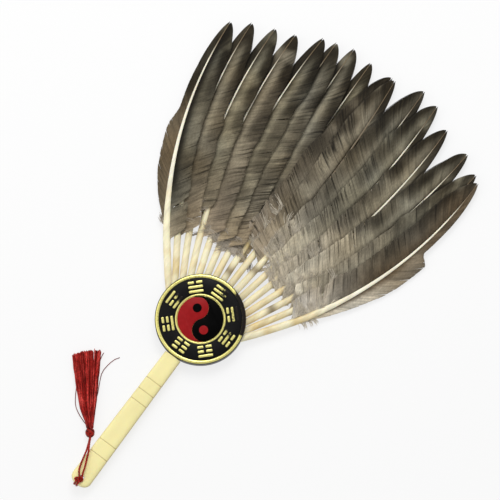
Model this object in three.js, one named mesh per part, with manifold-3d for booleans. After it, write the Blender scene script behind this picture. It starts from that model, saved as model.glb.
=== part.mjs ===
// A rigid feather fan: sixteen goose wing feathers clamped in a round hub with a gilt medallion,
// a cream handle with engraved rings, and a red tassel on a doubled cord.
// Millimetres. The origin is the middle of the hub's flat back, +Y runs from the handle to the
// feathers, +X to the right, and +Z out of the decorated face.
import * as THREE from "three";
import { mergeVertices } from "three/addons/utils/BufferGeometryUtils.js";
import Module from "manifold-3d";

const wasm = await Module();
wasm.setup();

const radians = THREE.MathUtils.degToRad;

// Gap between pieces that fit together
const CLEARANCE = 0.3;

// Hub
const HUB_RADIUS = 41;
const HUB_BACK_HEIGHT = 7;
const HUB_FRONT_HEIGHT = 6;
const HUB_EDGE_CHAMFER = 1.2;
const HUB_WALL = 1;
const HUB_SEGMENTS = 48;

// Medallion
const PLATE_THICKNESS = 0.8;
const RELIEF_HEIGHT = 1;
const FIELD_THICKNESS = 0.6;
const INLAY_THICKNESS = 0.8;
const OUTER_RING_WIDTH = 3;
const TRIGRAM_BAND = 14;
const INNER_RING_WIDTH = 1.9;
const BAR_LENGTH = 13.3;
const BAR_WIDTH = 2.5;
const BAR_BREAK = 1.9;
const BAR_INNER_MARGIN = 0.25;
const BAR_OUTER_MARGIN = 1.45;
const DOT_RADIUS = 4.1;
const TAIJI_TURN = radians(52.6);

// The eight trigrams clockwise from +Y, each from its inner line to its outer one; 1 is unbroken
const TRIGRAMS = ["111", "011", "010", "001", "000", "100", "101", "110"];

// Feathers: the quills spread from one focus below the hub, and the fan leans a little to the left
const FOCUS_BELOW_HUB = 45;
const FEATHER_STEP = radians(5);
const FAN_LEAN = radians(1.6);
const QUILL_SEAT = 34;
const QUILL_TAPER = 26;
const QUILL_END_RADIUS = 1.7;
const QUILL_RADIUS = 2.6;
const RACHIS_TIP_RADIUS = 0.25;
const RACHIS_TAPER = 0.95;
const BEND_AFTER_RIM = 14;
const BARE_QUILL = 26;
const VANE_THICKNESS = 0.5;
const WIDE_VANE = 19;
const NARROW_VANE = 7.5;
const VANE_GROWTH = 32;
const VANE_TIP = 60;
const VANE_TIP_ROUNDNESS = 0.7;
const OUTERMOST_EXTRA = 5;
const OUTERMOST_LENGTH = 122;
const OUTERMOST_FADE = 24;
const MIDDLE_LAP = 2;

// Reach of a feather from the focus, and each feather's own difference, outermost feather first
const FEATHER_REACH = 327;
const LEFT_REACH_EXTRA = [-4.5, -3.5, -4, -4.5, 1.5, 1.5, 3.5, 0.5];
const RIGHT_REACH_EXTRA = [1.5, 0.5, 3.5, 2.5, 10, 10.5, 0.5, 0];

// Lean of each tip in degrees, + to the right, outermost feather first
const LEFT_TIP_LEAN = [-2, -1.5, 0.5, 1, 4, 1, 0, 0.5];
const RIGHT_TIP_LEAN = [0.7, 6.3, 5.7, 0.5, -1, -0.5, -4.5, 3];

// Handle, measured from the middle of the hub
const HANDLE_END = 184.6;
const HANDLE_WIDTH_AT_HUB = 16.6;
const HANDLE_WIDTH_AT_END = 19.8;
const HANDLE_THICKNESS = 10;
const HANDLE_END_ROUND = 8;
const HANDLE_SQUARENESS = 3.4;
const RING_LINES = [70, 82, 93, 139, 152.5];
const RING_LINE_WIDTH = 1.3;
const RING_LINE_DEPTH = 0.45;
const HOLE_FROM_END = 6.9;
const HOLE_RADIUS = 2.25;
const TANG_WIDTH = 12;
const TANG_THICKNESS = 5;
const TANG_LENGTH = 19;
const TANG_ROOT = 1;

// Tassel
const CORD_RADIUS = 0.75;
const KNOT_RADIUS = 4.1;
const KNOT_CENTRE = new THREE.Vector3(-19, -140.2, 4.5);
const SKIRT_HEADING = radians(38.4);
const SKIRT_LENGTH = 70;
const SKIRT_NECK_WIDTH = 5;
const SKIRT_SHOULDER_WIDTH = 11;
const SKIRT_END_WIDTH = 26;
const SKIRT_THICKNESS = 7.6;

const HUB_MIDDLE = HUB_BACK_HEIGHT;
const HUB_TOP = HUB_BACK_HEIGHT + HUB_FRONT_HEIGHT;
const RIM_REACH = FOCUS_BELOW_HUB + HUB_RADIUS;
const QUILL_START = RIM_REACH - QUILL_SEAT;
const BEND_START = RIM_REACH + BEND_AFTER_RIM;
const VANE_START = RIM_REACH + BARE_QUILL;

const finish = (color, roughness, metalness = 0) =>
  new THREE.MeshStandardMaterial({ color, roughness, metalness });
const fan = new THREE.Group();

function add(name, geometry, material) {
  geometry.computeVertexNormals();
  const mesh = new THREE.Mesh(geometry, material);
  mesh.name = name;
  fan.add(mesh);
}

// A closed skin over rings of equally many points; the ends are closed by strips across the ring.
function loft(rings, endless = false) {
  const sides = rings[0].length;
  const index = [];
  const quad = (a, b, c, d) => index.push(a, b, c, a, c, d);
  const spans = endless ? rings.length : rings.length - 1;
  for (let i = 0; i < spans; i++) {
    const here = i * sides;
    const next = ((i + 1) % rings.length) * sides;
    for (let j = 0; j < sides; j++) {
      const k = (j + 1) % sides;
      quad(here + j, next + j, next + k, here + k);
    }
  }
  if (!endless) {
    const last = (rings.length - 1) * sides;
    for (let j = 0; j < sides / 2 - 1; j++) {
      quad(j, j + 1, sides - 2 - j, sides - 1 - j);
      quad(last + sides - 1 - j, last + sides - 2 - j, last + j + 1, last + j);
    }
  }
  const points = rings.flat();
  let volume = 0;
  for (let i = 0; i < index.length; i += 3) {
    const [a, b, c] = [points[index[i]], points[index[i + 1]], points[index[i + 2]]];
    volume += a.dot(b.clone().cross(c));
  }
  if (volume < 0) index.reverse();
  const geometry = new THREE.BufferGeometry().setFromPoints(points);
  geometry.setIndex(index);
  return geometry;
}

// A ring of points round a centre, in the plane of two unit directions, with two half sizes.
function ellipse(centre, across, up, halfWidth, halfHeight, sides, power = 2) {
  return Array.from({ length: sides }, (_, j) => {
    const angle = ((j + 0.5) / sides) * 2 * Math.PI;
    const shaped = (v) => Math.sign(v) * Math.abs(v) ** (2 / power);
    return centre
      .clone()
      .addScaledVector(across, halfWidth * shaped(Math.cos(angle)))
      .addScaledVector(up, halfHeight * shaped(Math.sin(angle)));
  });
}

const UP = new THREE.Vector3(0, 0, 1);
const RIGHT = new THREE.Vector3(1, 0, 0);

function solidOf(geometry) {
  const bare = geometry.clone();
  bare.deleteAttribute("normal");
  bare.deleteAttribute("uv");
  const merged = mergeVertices(bare, 1e-4);
  const triVerts = new Uint32Array(merged.index.array);
  const vertProperties = merged.attributes.position.array;
  return new wasm.Manifold(new wasm.Mesh({ numProp: 3, vertProperties, triVerts }));
}

function geometryOf(solid) {
  const mesh = solid.getMesh();
  const geometry = new THREE.BufferGeometry();
  geometry.setAttribute("position", new THREE.BufferAttribute(mesh.vertProperties, 3));
  geometry.setIndex(new THREE.BufferAttribute(mesh.triVerts, 1));
  return geometry.toNonIndexed();
}

const cut = (solid, tools) => tools.reduce((left, tool) => left.subtract(tool), solid);
const join = (solids) => solids.reduce((sum, solid) => sum.add(solid));

// A solid of revolution about +Z from [radius, height] pairs.
function turned(profile, segments = HUB_SEGMENTS) {
  const points = profile.map(([radius, height]) => new THREE.Vector2(radius, height));
  return new THREE.LatheGeometry(points, segments).rotateX(Math.PI / 2);
}

function disc(radius, bottom, top, segments) {
  return turned([[0, bottom], [radius, bottom], [radius, top], [0, top]], segments);
}

function ring(inner, outer, bottom, top) {
  return turned([[inner, bottom], [outer, bottom], [outer, top], [inner, top], [inner, bottom]]);
}

function block(width, length, bottom, top) {
  const box = new THREE.BoxGeometry(width, length, top - bottom);
  return box.translate(0, 0, (bottom + top) / 2);
}

// Feathers

function makeFeather(side, number, reach, tipLean, place) {
  const root = -side * place * FEATHER_STEP;
  return { name: `${side > 0 ? "left" : "right"}_${number}`, side, reach, root, tip: radians(tipLean) };
}

const count = LEFT_REACH_EXTRA.length;
const placeOf = (i) => count - 0.5 - i;
const leftFeathers = LEFT_REACH_EXTRA.map((extra, i) =>
  makeFeather(1, i + 1, FEATHER_REACH + extra, LEFT_TIP_LEAN[i], placeOf(i)));
const rightFeathers = RIGHT_REACH_EXTRA.map((extra, i) =>
  makeFeather(-1, count - i, FEATHER_REACH + extra, RIGHT_TIP_LEAN[i], placeOf(i)));
const feathers = [...leftFeathers, ...rightFeathers];

// Each feather laps over the next one towards the middle. The two middle ones lie side by side.
const innermostLeft = leftFeathers[count - 1];
const innermostRight = rightFeathers[count - 1];
for (const wing of [leftFeathers, rightFeathers])
  wing.forEach((feather, i) => {
    feather.outerNeighbour = wing[i - 1];
    feather.innerNeighbour = wing[i + 1];
  });
innermostLeft.innerNeighbour = innermostRight;
innermostRight.innerNeighbour = innermostLeft;

// The axis of a feather at a distance from the focus: straight, then an arc to the tip's lean.
function axisAt(feather, s) {
  const { root, tip, reach } = feather;
  const straight = Math.min(s, BEND_START);
  const curved = Math.max(s - BEND_START, 0);
  const bend = (tip - root) / (reach - BEND_START);
  const heading = root + bend * curved;
  let x = straight * Math.sin(root);
  let y = straight * Math.cos(root) - FOCUS_BELOW_HUB;
  if (curved > 0 && Math.abs(bend) > 1e-9) {
    x += (Math.cos(root) - Math.cos(heading)) / bend;
    y += (Math.sin(heading) - Math.sin(root)) / bend;
  } else {
    x += curved * Math.sin(root);
    y += curved * Math.cos(root);
  }
  const point = new THREE.Vector3(x, y, HUB_MIDDLE).applyAxisAngle(UP, FAN_LEAN);
  const across = new THREE.Vector3(Math.cos(heading), -Math.sin(heading), 0);
  across.applyAxisAngle(UP, FAN_LEAN).multiplyScalar(feather.side);
  return { point, across };
}

function quillRadius(feather, s) {
  const grown = THREE.MathUtils.clamp((s - QUILL_START) / QUILL_TAPER, 0, 1);
  const barrel = QUILL_END_RADIUS + (QUILL_RADIUS - QUILL_END_RADIUS) * grown;
  const left = THREE.MathUtils.clamp((feather.reach - s) / (feather.reach - VANE_START), 0, 1);
  return RACHIS_TIP_RADIUS + (barrel - RACHIS_TIP_RADIUS) * left ** RACHIS_TAPER;
}

const QUILL_SIDES = 6;

function quillRing(feather, s, extra) {
  const { point, across } = axisAt(feather, s);
  const radius = quillRadius(feather, s) + extra;
  return ellipse(point, across, UP, radius, radius, QUILL_SIDES);
}

// The stations of a vane, which its rachis shares: the base, the middle and the tapering tip.
function vaneStations(feather) {
  const full = VANE_START + VANE_GROWTH;
  const tipStart = feather.reach - VANE_TIP;
  return [
    ...[0, 0.35, 0.7, 1].map((part) => VANE_START + part * VANE_GROWTH),
    ...[1 / 3, 2 / 3].map((part) => full + part * (tipStart - full)),
    ...[0, 0.3, 0.55, 0.75, 0.9, 0.98].map((part) => tipStart + part * VANE_TIP),
  ];
}

function quill(feather) {
  const along = [QUILL_START, QUILL_START + QUILL_TAPER, BEND_START, ...vaneStations(feather)];
  return loft(along.map((s) => quillRing(feather, s, 0)));
}

// The space that a quill needs in the hub's two shells.
function quillGroove(feather) {
  const along = [QUILL_START - CLEARANCE, QUILL_START + QUILL_TAPER, BEND_START];
  return solidOf(loft(along.map((s) => quillRing(feather, s, CLEARANCE))));
}

// The gap from a feather's axis to a neighbour's axis, and the rachis radius found there.
function toNeighbour(feather, s, neighbour) {
  const { point } = axisAt(feather, s);
  const nearest = { distance: Infinity, radius: 0 };
  const step = 2;
  for (let t = VANE_START; t <= neighbour.reach; t += step) {
    const distance = point.distanceTo(axisAt(neighbour, t).point);
    if (distance < nearest.distance) {
      nearest.distance = distance;
      nearest.radius = quillRadius(neighbour, t);
    }
  }
  return nearest;
}

// How steeply a vane rises to pass over the neighbour's rachis.
function lapSlope(feather, s, neighbour) {
  const { distance, radius } = toNeighbour(feather, s, neighbour);
  return (Math.max(radius, quillRadius(feather, s)) + CLEARANCE + VANE_THICKNESS) / distance;
}

const troughRadius = (feather, s) =>
  (quillRadius(feather, s) + CLEARANCE + VANE_THICKNESS / 2) / Math.cos(Math.PI / 8);

// Room beside a neighbour's rachis for a vane that runs under the neighbour.
const roomBeside = (feather, s, neighbour) =>
  toNeighbour(feather, s, neighbour).distance -
  troughRadius(neighbour, Math.min(s, neighbour.reach)) - VANE_THICKNESS - CLEARANCE;

// Widths and slopes of a vane's wide inner side and narrow outer side at one station.
function vaneSides(feather, s) {
  const { innerNeighbour, outerNeighbour, reach } = feather;
  const growth = THREE.MathUtils.smoothstep(s, VANE_START - VANE_GROWTH / 4, VANE_START + VANE_GROWTH);
  const towardsTip = Math.max((s - reach + VANE_TIP) / VANE_TIP, 0);
  const shape = growth * Math.max(1 - towardsTip ** 2, 0) ** VANE_TIP_ROUNDNESS;
  const least = troughRadius(feather, s) + VANE_THICKNESS;
  let inner = WIDE_VANE * shape;
  let innerSlope = lapSlope(feather, s, innerNeighbour);
  let outer = NARROW_VANE * shape;
  let outerSlope = innerSlope;
  if (!outerNeighbour) {
    const broadEnd = VANE_START + OUTERMOST_LENGTH;
    const fade = THREE.MathUtils.smoothstep(s, broadEnd - OUTERMOST_FADE, broadEnd);
    outer += OUTERMOST_EXTRA * growth * (1 - fade);
  } else {
    outer = Math.min(outer, roomBeside(feather, s, outerNeighbour));
    outerSlope = lapSlope(outerNeighbour, Math.min(s, outerNeighbour.reach), feather);
  }
  const middleGap = toNeighbour(feather, s, innerNeighbour).distance;
  if (feather === innermostLeft) {
    inner = Math.min(inner, roomBeside(feather, s, innerNeighbour));
    innerSlope = -lapSlope(innermostRight, Math.min(s, innermostRight.reach), feather);
  }
  if (feather === innermostRight) inner = Math.min(inner, middleGap + MIDDLE_LAP);
  if (innerNeighbour === innermostLeft && feather.side > 0)
    inner = Math.min(inner, middleGap - MIDDLE_LAP - VANE_THICKNESS - CLEARANCE);
  return { inner: Math.max(inner, least), innerSlope, outer: Math.max(outer, least), outerSlope };
}

// The section of a vane: outer side, a trough that passes under the rachis, and inner side.
function vaneRing(feather, s) {
  const { point, across } = axisAt(feather, s);
  const { inner, innerSlope, outer, outerSlope } = vaneSides(feather, s);
  const radius = troughRadius(feather, s);
  const outerAngle = -Math.PI + Math.atan(outerSlope);
  const innerAngle = Math.atan(innerSlope);
  const troughSteps = 4;
  const line = [new THREE.Vector2(-outer, -outer * outerSlope)];
  for (let i = 0; i <= troughSteps; i++) {
    const angle = outerAngle + ((innerAngle - outerAngle) * i) / troughSteps;
    line.push(new THREE.Vector2(radius * Math.cos(angle), radius * Math.sin(angle)));
  }
  line.push(new THREE.Vector2(inner, inner * innerSlope));
  const offset = (i, distance) => {
    const before = line[i].clone().sub(line[Math.max(i - 1, 0)]).normalize();
    const after = line[Math.min(i + 1, line.length - 1)].clone().sub(line[i]).normalize();
    const along = before.add(after).normalize();
    const normal = new THREE.Vector2(-along.y, along.x);
    return line[i].clone().addScaledVector(normal, distance);
  };
  const half = VANE_THICKNESS / 2;
  const section = [
    ...line.map((_, i) => offset(i, half)),
    ...line.map((_, i) => offset(i, -half)).reverse(),
  ];
  return section.map(({ x, y }) => point.clone().addScaledVector(across, x).addScaledVector(UP, y));
}

const vane = (feather) => loft(vaneStations(feather).map((s) => vaneRing(feather, s)));

const quillFinish = finish(0xe8d9ae, 0.45);
const vaneFinish = finish(0x706859, 0.7);
for (const feather of feathers) {
  add(`quill_${feather.name}`, quill(feather), quillFinish.clone());
  add(`vane_${feather.name}`, vane(feather), vaneFinish.clone());
}

// Hub shells: grooves hold the quills, and a slot holds the handle's tang

const SHOULDER = HUB_RADIUS + CLEARANCE;
const tangTop = SHOULDER - CLEARANCE - TANG_LENGTH;

function tangSpace(extra) {
  const half = TANG_THICKNESS / 2 + extra;
  const length = SHOULDER - tangTop + extra;
  const slot = block(TANG_WIDTH + 2 * extra, length, HUB_MIDDLE - half, HUB_MIDDLE + half);
  return slot.translate(0, -SHOULDER + length / 2, 0);
}

const cuts = [...feathers.map(quillGroove), solidOf(tangSpace(CLEARANCE))];
const badgeRadius = HUB_RADIUS - HUB_WALL;
const backShell = turned([
  [0, 0],
  [HUB_RADIUS - HUB_EDGE_CHAMFER, 0],
  [HUB_RADIUS, HUB_EDGE_CHAMFER],
  [HUB_RADIUS, HUB_MIDDLE],
  [0, HUB_MIDDLE],
]);
const seat = HUB_TOP - PLATE_THICKNESS;
const frontShell = turned([
  [0, HUB_MIDDLE],
  [HUB_RADIUS, HUB_MIDDLE],
  [HUB_RADIUS, HUB_TOP],
  [badgeRadius + CLEARANCE, HUB_TOP],
  [badgeRadius + CLEARANCE, seat],
  [0, seat],
]);
const blackPlastic = finish(0x15120f, 0.4);
add("hub_back_shell", geometryOf(cut(solidOf(backShell), cuts)), blackPlastic.clone());
add("hub_front_shell", geometryOf(cut(solidOf(frontShell), cuts)), blackPlastic.clone());

// Medallion

const outerRingInside = badgeRadius - OUTER_RING_WIDTH;
const innerRingRadius = outerRingInside - TRIGRAM_BAND;
const innerRingInside = innerRingRadius - INNER_RING_WIDTH;
const reliefTop = HUB_TOP + RELIEF_HEIGHT;
const fieldTop = HUB_TOP + FIELD_THICKNESS;
const firstBarEdge = innerRingRadius + BAR_INNER_MARGIN;
const barPitch = (TRIGRAM_BAND - BAR_INNER_MARGIN - BAR_OUTER_MARGIN) / TRIGRAMS[0].length;

// All bars as blocks that stand on the plate, each grown by the given amount.
function trigramBars(extra, bottom, top) {
  const bars = [];
  TRIGRAMS.forEach((lines, k) => {
    const turn = (-k * 2 * Math.PI) / TRIGRAMS.length;
    [...lines].forEach((line, j) => {
      const radius = firstBarEdge + (j + 0.5) * barPitch;
      const half = (BAR_LENGTH - BAR_BREAK) / 2;
      const broken = [-1, 1].map((way) => [(way * (half + BAR_BREAK)) / 2, half]);
      const pieces = line === "1" ? [[0, BAR_LENGTH]] : broken;
      for (const [shift, length] of pieces) {
        const bar = block(length + 2 * extra, BAR_WIDTH + 2 * extra, bottom, top);
        bars.push(solidOf(bar.translate(shift, radius, 0).rotateZ(turn)));
      }
    });
  });
  return bars;
}

const sunk = PLATE_THICKNESS / 2;
const relief = join([
  solidOf(disc(badgeRadius, seat, HUB_TOP)),
  solidOf(ring(outerRingInside, badgeRadius, HUB_TOP - sunk, reliefTop)),
  solidOf(ring(innerRingInside, innerRingRadius, HUB_TOP - sunk, reliefTop)),
  ...trigramBars(0, HUB_TOP - sunk, reliefTop),
]);
add("badge_relief", geometryOf(relief), finish(0xc9a545, 0.3, 1));

const field = solidOf(ring(innerRingRadius + CLEARANCE, outerRingInside - CLEARANCE, HUB_TOP, fieldTop));
const barHoles = trigramBars(CLEARANCE, HUB_TOP - sunk, reliefTop);
add("badge_black_field", geometryOf(cut(field, barHoles)), finish(0x14110e, 0.35));

// One half of the taiji: half of the disc, with a round head added and the other head left out.
function taijiHalf(radius, gap) {
  const head = radius / 2;
  const tailHeight = -(radius ** 2 + head ** 2 - (head + gap) ** 2) / radius;
  const tailWidth = Math.sqrt(radius ** 2 - tailHeight ** 2);
  const shape = new THREE.Shape();
  shape.absarc(0, 0, radius, Math.PI / 2, Math.atan2(tailHeight, -tailWidth) + 2 * Math.PI, false);
  const tailAngle = Math.atan2(tailHeight + head, -tailWidth) + 2 * Math.PI;
  shape.absarc(0, -head, head + gap, tailAngle, Math.PI / 2, true);
  shape.absarc(0, head, head - gap, -Math.PI / 2, Math.PI / 2, false);
  const hole = new THREE.Path();
  hole.absarc(0, head, DOT_RADIUS + CLEARANCE, 0, 2 * Math.PI, true);
  shape.holes.push(hole);
  const options = { depth: INLAY_THICKNESS, bevelEnabled: false, curveSegments: 12 };
  return new THREE.ExtrudeGeometry(shape, options).translate(0, 0, HUB_TOP);
}

const taijiRadius = innerRingInside - CLEARANCE;
const lacquerRed = finish(0xb3141c, 0.3);
const lacquerBlack = finish(0x0d0b0b, 0.3);
const inlayTop = HUB_TOP + INLAY_THICKNESS;
const halves = [
  ["red", lacquerRed, "black", lacquerBlack, TAIJI_TURN],
  ["black", lacquerBlack, "red", lacquerRed, TAIJI_TURN + Math.PI],
];
for (const [colour, lacquer, dotColour, dotLacquer, turn] of halves) {
  const half = taijiHalf(taijiRadius, CLEARANCE / 2).rotateZ(turn);
  add(`taiji_${colour}`, half, lacquer.clone());
  const dot = disc(DOT_RADIUS, HUB_TOP, inlayTop, 24).translate(0, taijiRadius / 2, 0).rotateZ(turn);
  add(`taiji_${dotColour}_dot`, dot, dotLacquer.clone());
}

// Handle

function handleRing(distance, inset) {
  const share = (distance - SHOULDER) / (HANDLE_END - SHOULDER);
  const width = THREE.MathUtils.lerp(HANDLE_WIDTH_AT_HUB, HANDLE_WIDTH_AT_END, share);
  const rounded = THREE.MathUtils.clamp((distance - HANDLE_END + HANDLE_END_ROUND) / HANDLE_END_ROUND, 0, 1);
  const narrowing = Math.sqrt(1 - 0.9 * rounded ** 2);
  const thinning = Math.sqrt(1 - 0.6 * rounded ** 2);
  const centre = new THREE.Vector3(0, -distance, HUB_MIDDLE);
  const halfWidth = (width / 2 - inset) * narrowing;
  const halfThickness = (HANDLE_THICKNESS / 2 - inset) * thinning;
  return ellipse(centre, RIGHT, UP, halfWidth, halfThickness, 16, HANDLE_SQUARENESS);
}

function handleSolid() {
  const stations = [[SHOULDER, 0]];
  for (const line of RING_LINES) {
    stations.push([line - RING_LINE_WIDTH / 2, 0]);
    stations.push([line, RING_LINE_DEPTH]);
    stations.push([line + RING_LINE_WIDTH / 2, 0]);
  }
  for (const part of [0, 0.4, 0.7, 0.9, 1]) stations.push([HANDLE_END - (1 - part) * HANDLE_END_ROUND, 0]);
  const grip = solidOf(loft(stations.map(([distance, inset]) => handleRing(distance, inset))));
  const rooted = CLEARANCE + TANG_ROOT;
  const tang = solidOf(tangSpace(0)).add(
    solidOf(block(TANG_WIDTH, 2 * rooted, HUB_MIDDLE - TANG_THICKNESS / 2, HUB_MIDDLE + TANG_THICKNESS / 2)
      .translate(0, -SHOULDER, 0)));
  const hole = disc(HOLE_RADIUS, 0, 2 * HUB_MIDDLE, 16).translate(0, HOLE_FROM_END - HANDLE_END, 0);
  return grip.add(tang).subtract(solidOf(hole));
}

add("handle", geometryOf(handleSolid()), finish(0xeadfb4, 0.4));

// Tassel: a loop through the handle's hole, two strands to the knot, and the skirt of threads

const CORD_SIDES = 8;

function tube(curve, steps, endless = false) {
  const rings = [];
  const rows = endless ? steps : steps + 1;
  for (let i = 0; i < rows; i++) {
    const along = curve.getTangentAt(i / steps);
    const across = new THREE.Vector3().crossVectors(along, endless ? RIGHT : UP).normalize();
    const up = new THREE.Vector3().crossVectors(across, along).normalize();
    rings.push(ellipse(curve.getPointAt(i / steps), across, up, CORD_RADIUS, CORD_RADIUS, CORD_SIDES));
  }
  return loft(rings, endless);
}

const silkRed = finish(0xa80f16, 0.5);
const cordRoom = CORD_RADIUS + CLEARANCE;
const holeY = HOLE_FROM_END - HANDLE_END;
const cordTop = HUB_MIDDLE + HANDLE_THICKNESS / 2 + cordRoom;
const cordBottom = HUB_MIDDLE - HANDLE_THICKNESS / 2 - cordRoom;
const cordEnd = -HANDLE_END - cordRoom;
const hitchPoints = [
  [holeY, HUB_MIDDLE],
  [holeY, cordTop - CORD_RADIUS],
  [holeY - CORD_RADIUS, cordTop],
  [(holeY + cordEnd) / 2, cordTop],
  [cordEnd + CORD_RADIUS, cordTop - CORD_RADIUS],
  [cordEnd, HUB_MIDDLE],
  [cordEnd + CORD_RADIUS, cordBottom + CORD_RADIUS],
  [(holeY + cordEnd) / 2, cordBottom],
  [holeY - CORD_RADIUS, cordBottom],
  [holeY, cordBottom + CORD_RADIUS],
].map(([y, z]) => new THREE.Vector3(0, y, z));
const hitchCurve = new THREE.CatmullRomCurve3(hitchPoints, true, "centripetal");
add("cord_hitch", tube(hitchCurve, 20, true), silkRed.clone());

// Each strand crosses the handle's top, drops past its side and ends at the knot.
const STRAND_ROUTES = {
  left: [[-0.9, -178.5, 14.9], [-3.9, -169.6, 14.9], [-8, -162, 13.6], [-11, -156, 12.2], [-13.4, -151, 9.6],
    [-15.3, -147.3, 7], [-16.9, -144.4, 5.4]],
  right: [[0.9, -178.3, 14.9], [-1, -168.6, 14.9], [-4.6, -161.8, 13.9], [-8.6, -155.6, 13], [-11.5, -150.6, 10.6],
    [-13.6, -146.4, 7.6], [-15.3, -143.6, 5.6]],
};
for (const [way, route] of Object.entries(STRAND_ROUTES)) {
  const curve = new THREE.CatmullRomCurve3(route.map((point) => new THREE.Vector3(...point)));
  add(`cord_strand_${way}`, tube(curve, 12), silkRed.clone());
}

const knot = new THREE.SphereGeometry(KNOT_RADIUS, 16, 10).rotateX(Math.PI / 2);
add("tassel_knot", knot.translate(...KNOT_CENTRE.toArray()), silkRed.clone());

// The skirt flares from the knot; its threads gather in a few shallow locks.
function skirt() {
  const along = new THREE.Vector3(-Math.sin(SKIRT_HEADING), Math.cos(SKIRT_HEADING), 0);
  const across = new THREE.Vector3().crossVectors(along, UP);
  const start = KNOT_RADIUS + CLEARANCE;
  const stations = [
    [0, SKIRT_NECK_WIDTH, SKIRT_NECK_WIDTH],
    [0.06, SKIRT_SHOULDER_WIDTH * 0.75, SKIRT_THICKNESS * 0.9],
    [0.16, SKIRT_SHOULDER_WIDTH, SKIRT_THICKNESS],
    [0.5, (SKIRT_SHOULDER_WIDTH + SKIRT_END_WIDTH) / 2, SKIRT_THICKNESS],
    [0.85, SKIRT_END_WIDTH * 0.95, SKIRT_THICKNESS * 0.8],
    [1, SKIRT_END_WIDTH, SKIRT_THICKNESS * 0.6],
  ];
  const sides = 24;
  const locks = 6;
  return loft(stations.map(([part, width, thickness]) => {
    const centre = KNOT_CENTRE.clone().addScaledVector(along, start + part * SKIRT_LENGTH);
    centre.z = THREE.MathUtils.lerp(KNOT_CENTRE.z, SKIRT_THICKNESS / 2 + CLEARANCE, part);
    return Array.from({ length: sides }, (_, j) => {
      const angle = ((j + 0.5) / sides) * 2 * Math.PI;
      const lock = 1 - 0.09 * part * (1 + Math.cos(angle * locks));
      return centre
        .clone()
        .addScaledVector(across, (width / 2) * Math.cos(angle) * lock)
        .addScaledVector(UP, (thickness / 2) * Math.sin(angle) * lock);
    });
  }));
}

add("tassel_skirt", skirt(), silkRed.clone());

export default fan;
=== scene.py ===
"""A goose feather fan with a medallion hub, a cream handle and a red tassel, dressed for its portrait."""
import math

import bpy
import numpy as np
from mathutils import Matrix, Vector


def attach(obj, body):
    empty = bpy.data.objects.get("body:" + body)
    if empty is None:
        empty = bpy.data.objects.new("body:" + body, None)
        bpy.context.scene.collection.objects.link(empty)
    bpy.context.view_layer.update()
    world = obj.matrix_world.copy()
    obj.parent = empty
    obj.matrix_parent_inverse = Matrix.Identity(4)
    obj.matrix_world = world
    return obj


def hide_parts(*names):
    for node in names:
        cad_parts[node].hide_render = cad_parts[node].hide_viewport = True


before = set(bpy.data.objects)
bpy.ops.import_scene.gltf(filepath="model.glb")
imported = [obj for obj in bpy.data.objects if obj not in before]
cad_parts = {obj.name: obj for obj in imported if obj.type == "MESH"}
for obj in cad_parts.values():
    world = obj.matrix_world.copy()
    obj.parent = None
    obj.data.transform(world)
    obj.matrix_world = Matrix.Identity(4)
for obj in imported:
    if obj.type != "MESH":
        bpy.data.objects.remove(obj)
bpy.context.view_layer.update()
MM = 0.001

# Camera: the fan lies face up and is seen from almost straight above, turned so that it points up and right

FIELD = 450 * MM
SENSOR_WIDTH = 36
CAMERA_DISTANCE = 4.0
CAMERA_TILT = math.radians(8)
PICTURE_UP = Vector((-0.5962, 0.8028, 0))
VIEW_CENTRE = Vector((-1.9, 77.2, 9)) * MM


def make_camera():
    """A long lens above the fan, leaning a little towards the lower edge of the picture."""
    data = bpy.data.cameras.new("camera")
    data.sensor_width = SENSOR_WIDTH
    data.lens = SENSOR_WIDTH * CAMERA_DISTANCE / FIELD
    camera = bpy.data.objects.new("camera", data)
    bpy.context.collection.objects.link(camera)
    away = Vector((0, 0, 1)) * math.cos(CAMERA_TILT) - PICTURE_UP * math.sin(CAMERA_TILT)
    up = PICTURE_UP * math.cos(CAMERA_TILT) + Vector((0, 0, 1)) * math.sin(CAMERA_TILT)
    turn = Matrix((up.cross(away), up, away)).transposed().to_4x4()
    camera.matrix_world = Matrix.Translation(VIEW_CENTRE + away * CAMERA_DISTANCE) @ turn
    bpy.context.scene.camera = camera


make_camera()

# Numbers and noise


def ease(x, start=0, end=1):
    """An even S from 0 at the start to 1 at the end, flat beyond them; it falls where the end lies below."""
    t = np.clip((x - start) / (end - start), 0, 1)
    return t * t * (3 - 2 * t)


def bell(x, middle, width):
    """A bell curve of height 1: e to the minus square of the way from the middle over the width."""
    return np.exp(-(((x - middle) / width) ** 2))


def unit(vectors):
    """Vectors of length 1 in the same directions."""
    return vectors / (np.linalg.norm(vectors, axis=-1, keepdims=True) + 1e-12)


def soft_noise(x, seed, knots=64):
    """A smooth random wave of about unit size over the numbers x, the same for the same seed."""
    table = np.random.default_rng(seed).normal(size=knots)
    x = np.mod(x, knots)
    low = np.floor(x).astype(int)
    t = ease(x - low)
    return table[low % knots] * (1 - t) + table[(low + 1) % knots] * t


def patches(x, y, seed, knots=64):
    """A smooth random surface of about unit size over pairs of numbers, the same for the same seed."""
    table = np.random.default_rng(seed).normal(size=(knots, knots))
    x, y = np.broadcast_arrays(np.mod(x, knots), np.mod(y, knots))
    i, j = np.floor(x).astype(int), np.floor(y).astype(int)
    a, b = ease(x - i), ease(y - j)
    i, j, k, m = i % knots, j % knots, (i + 1) % knots, (j + 1) % knots
    near = table[i, j] * (1 - b) + table[i, m] * b
    far = table[k, j] * (1 - b) + table[k, m] * b
    return near * (1 - a) + far * a


def linear(red, green, blue):
    """A colour as it is seen on a screen, 0 to 255, as linear light."""
    seen = np.array([red, green, blue]) / 255
    return np.where(seen <= 0.04045, seen / 12.92, ((seen + 0.055) / 1.055) ** 2.4)


def mixed(first, second, weight):
    """A blend of two colours with a weight for each point, 0 for the first and 1 for the second."""
    return first + (second - first) * np.clip(weight, 0, 1)[..., None]


# Materials, one for each slot

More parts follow.
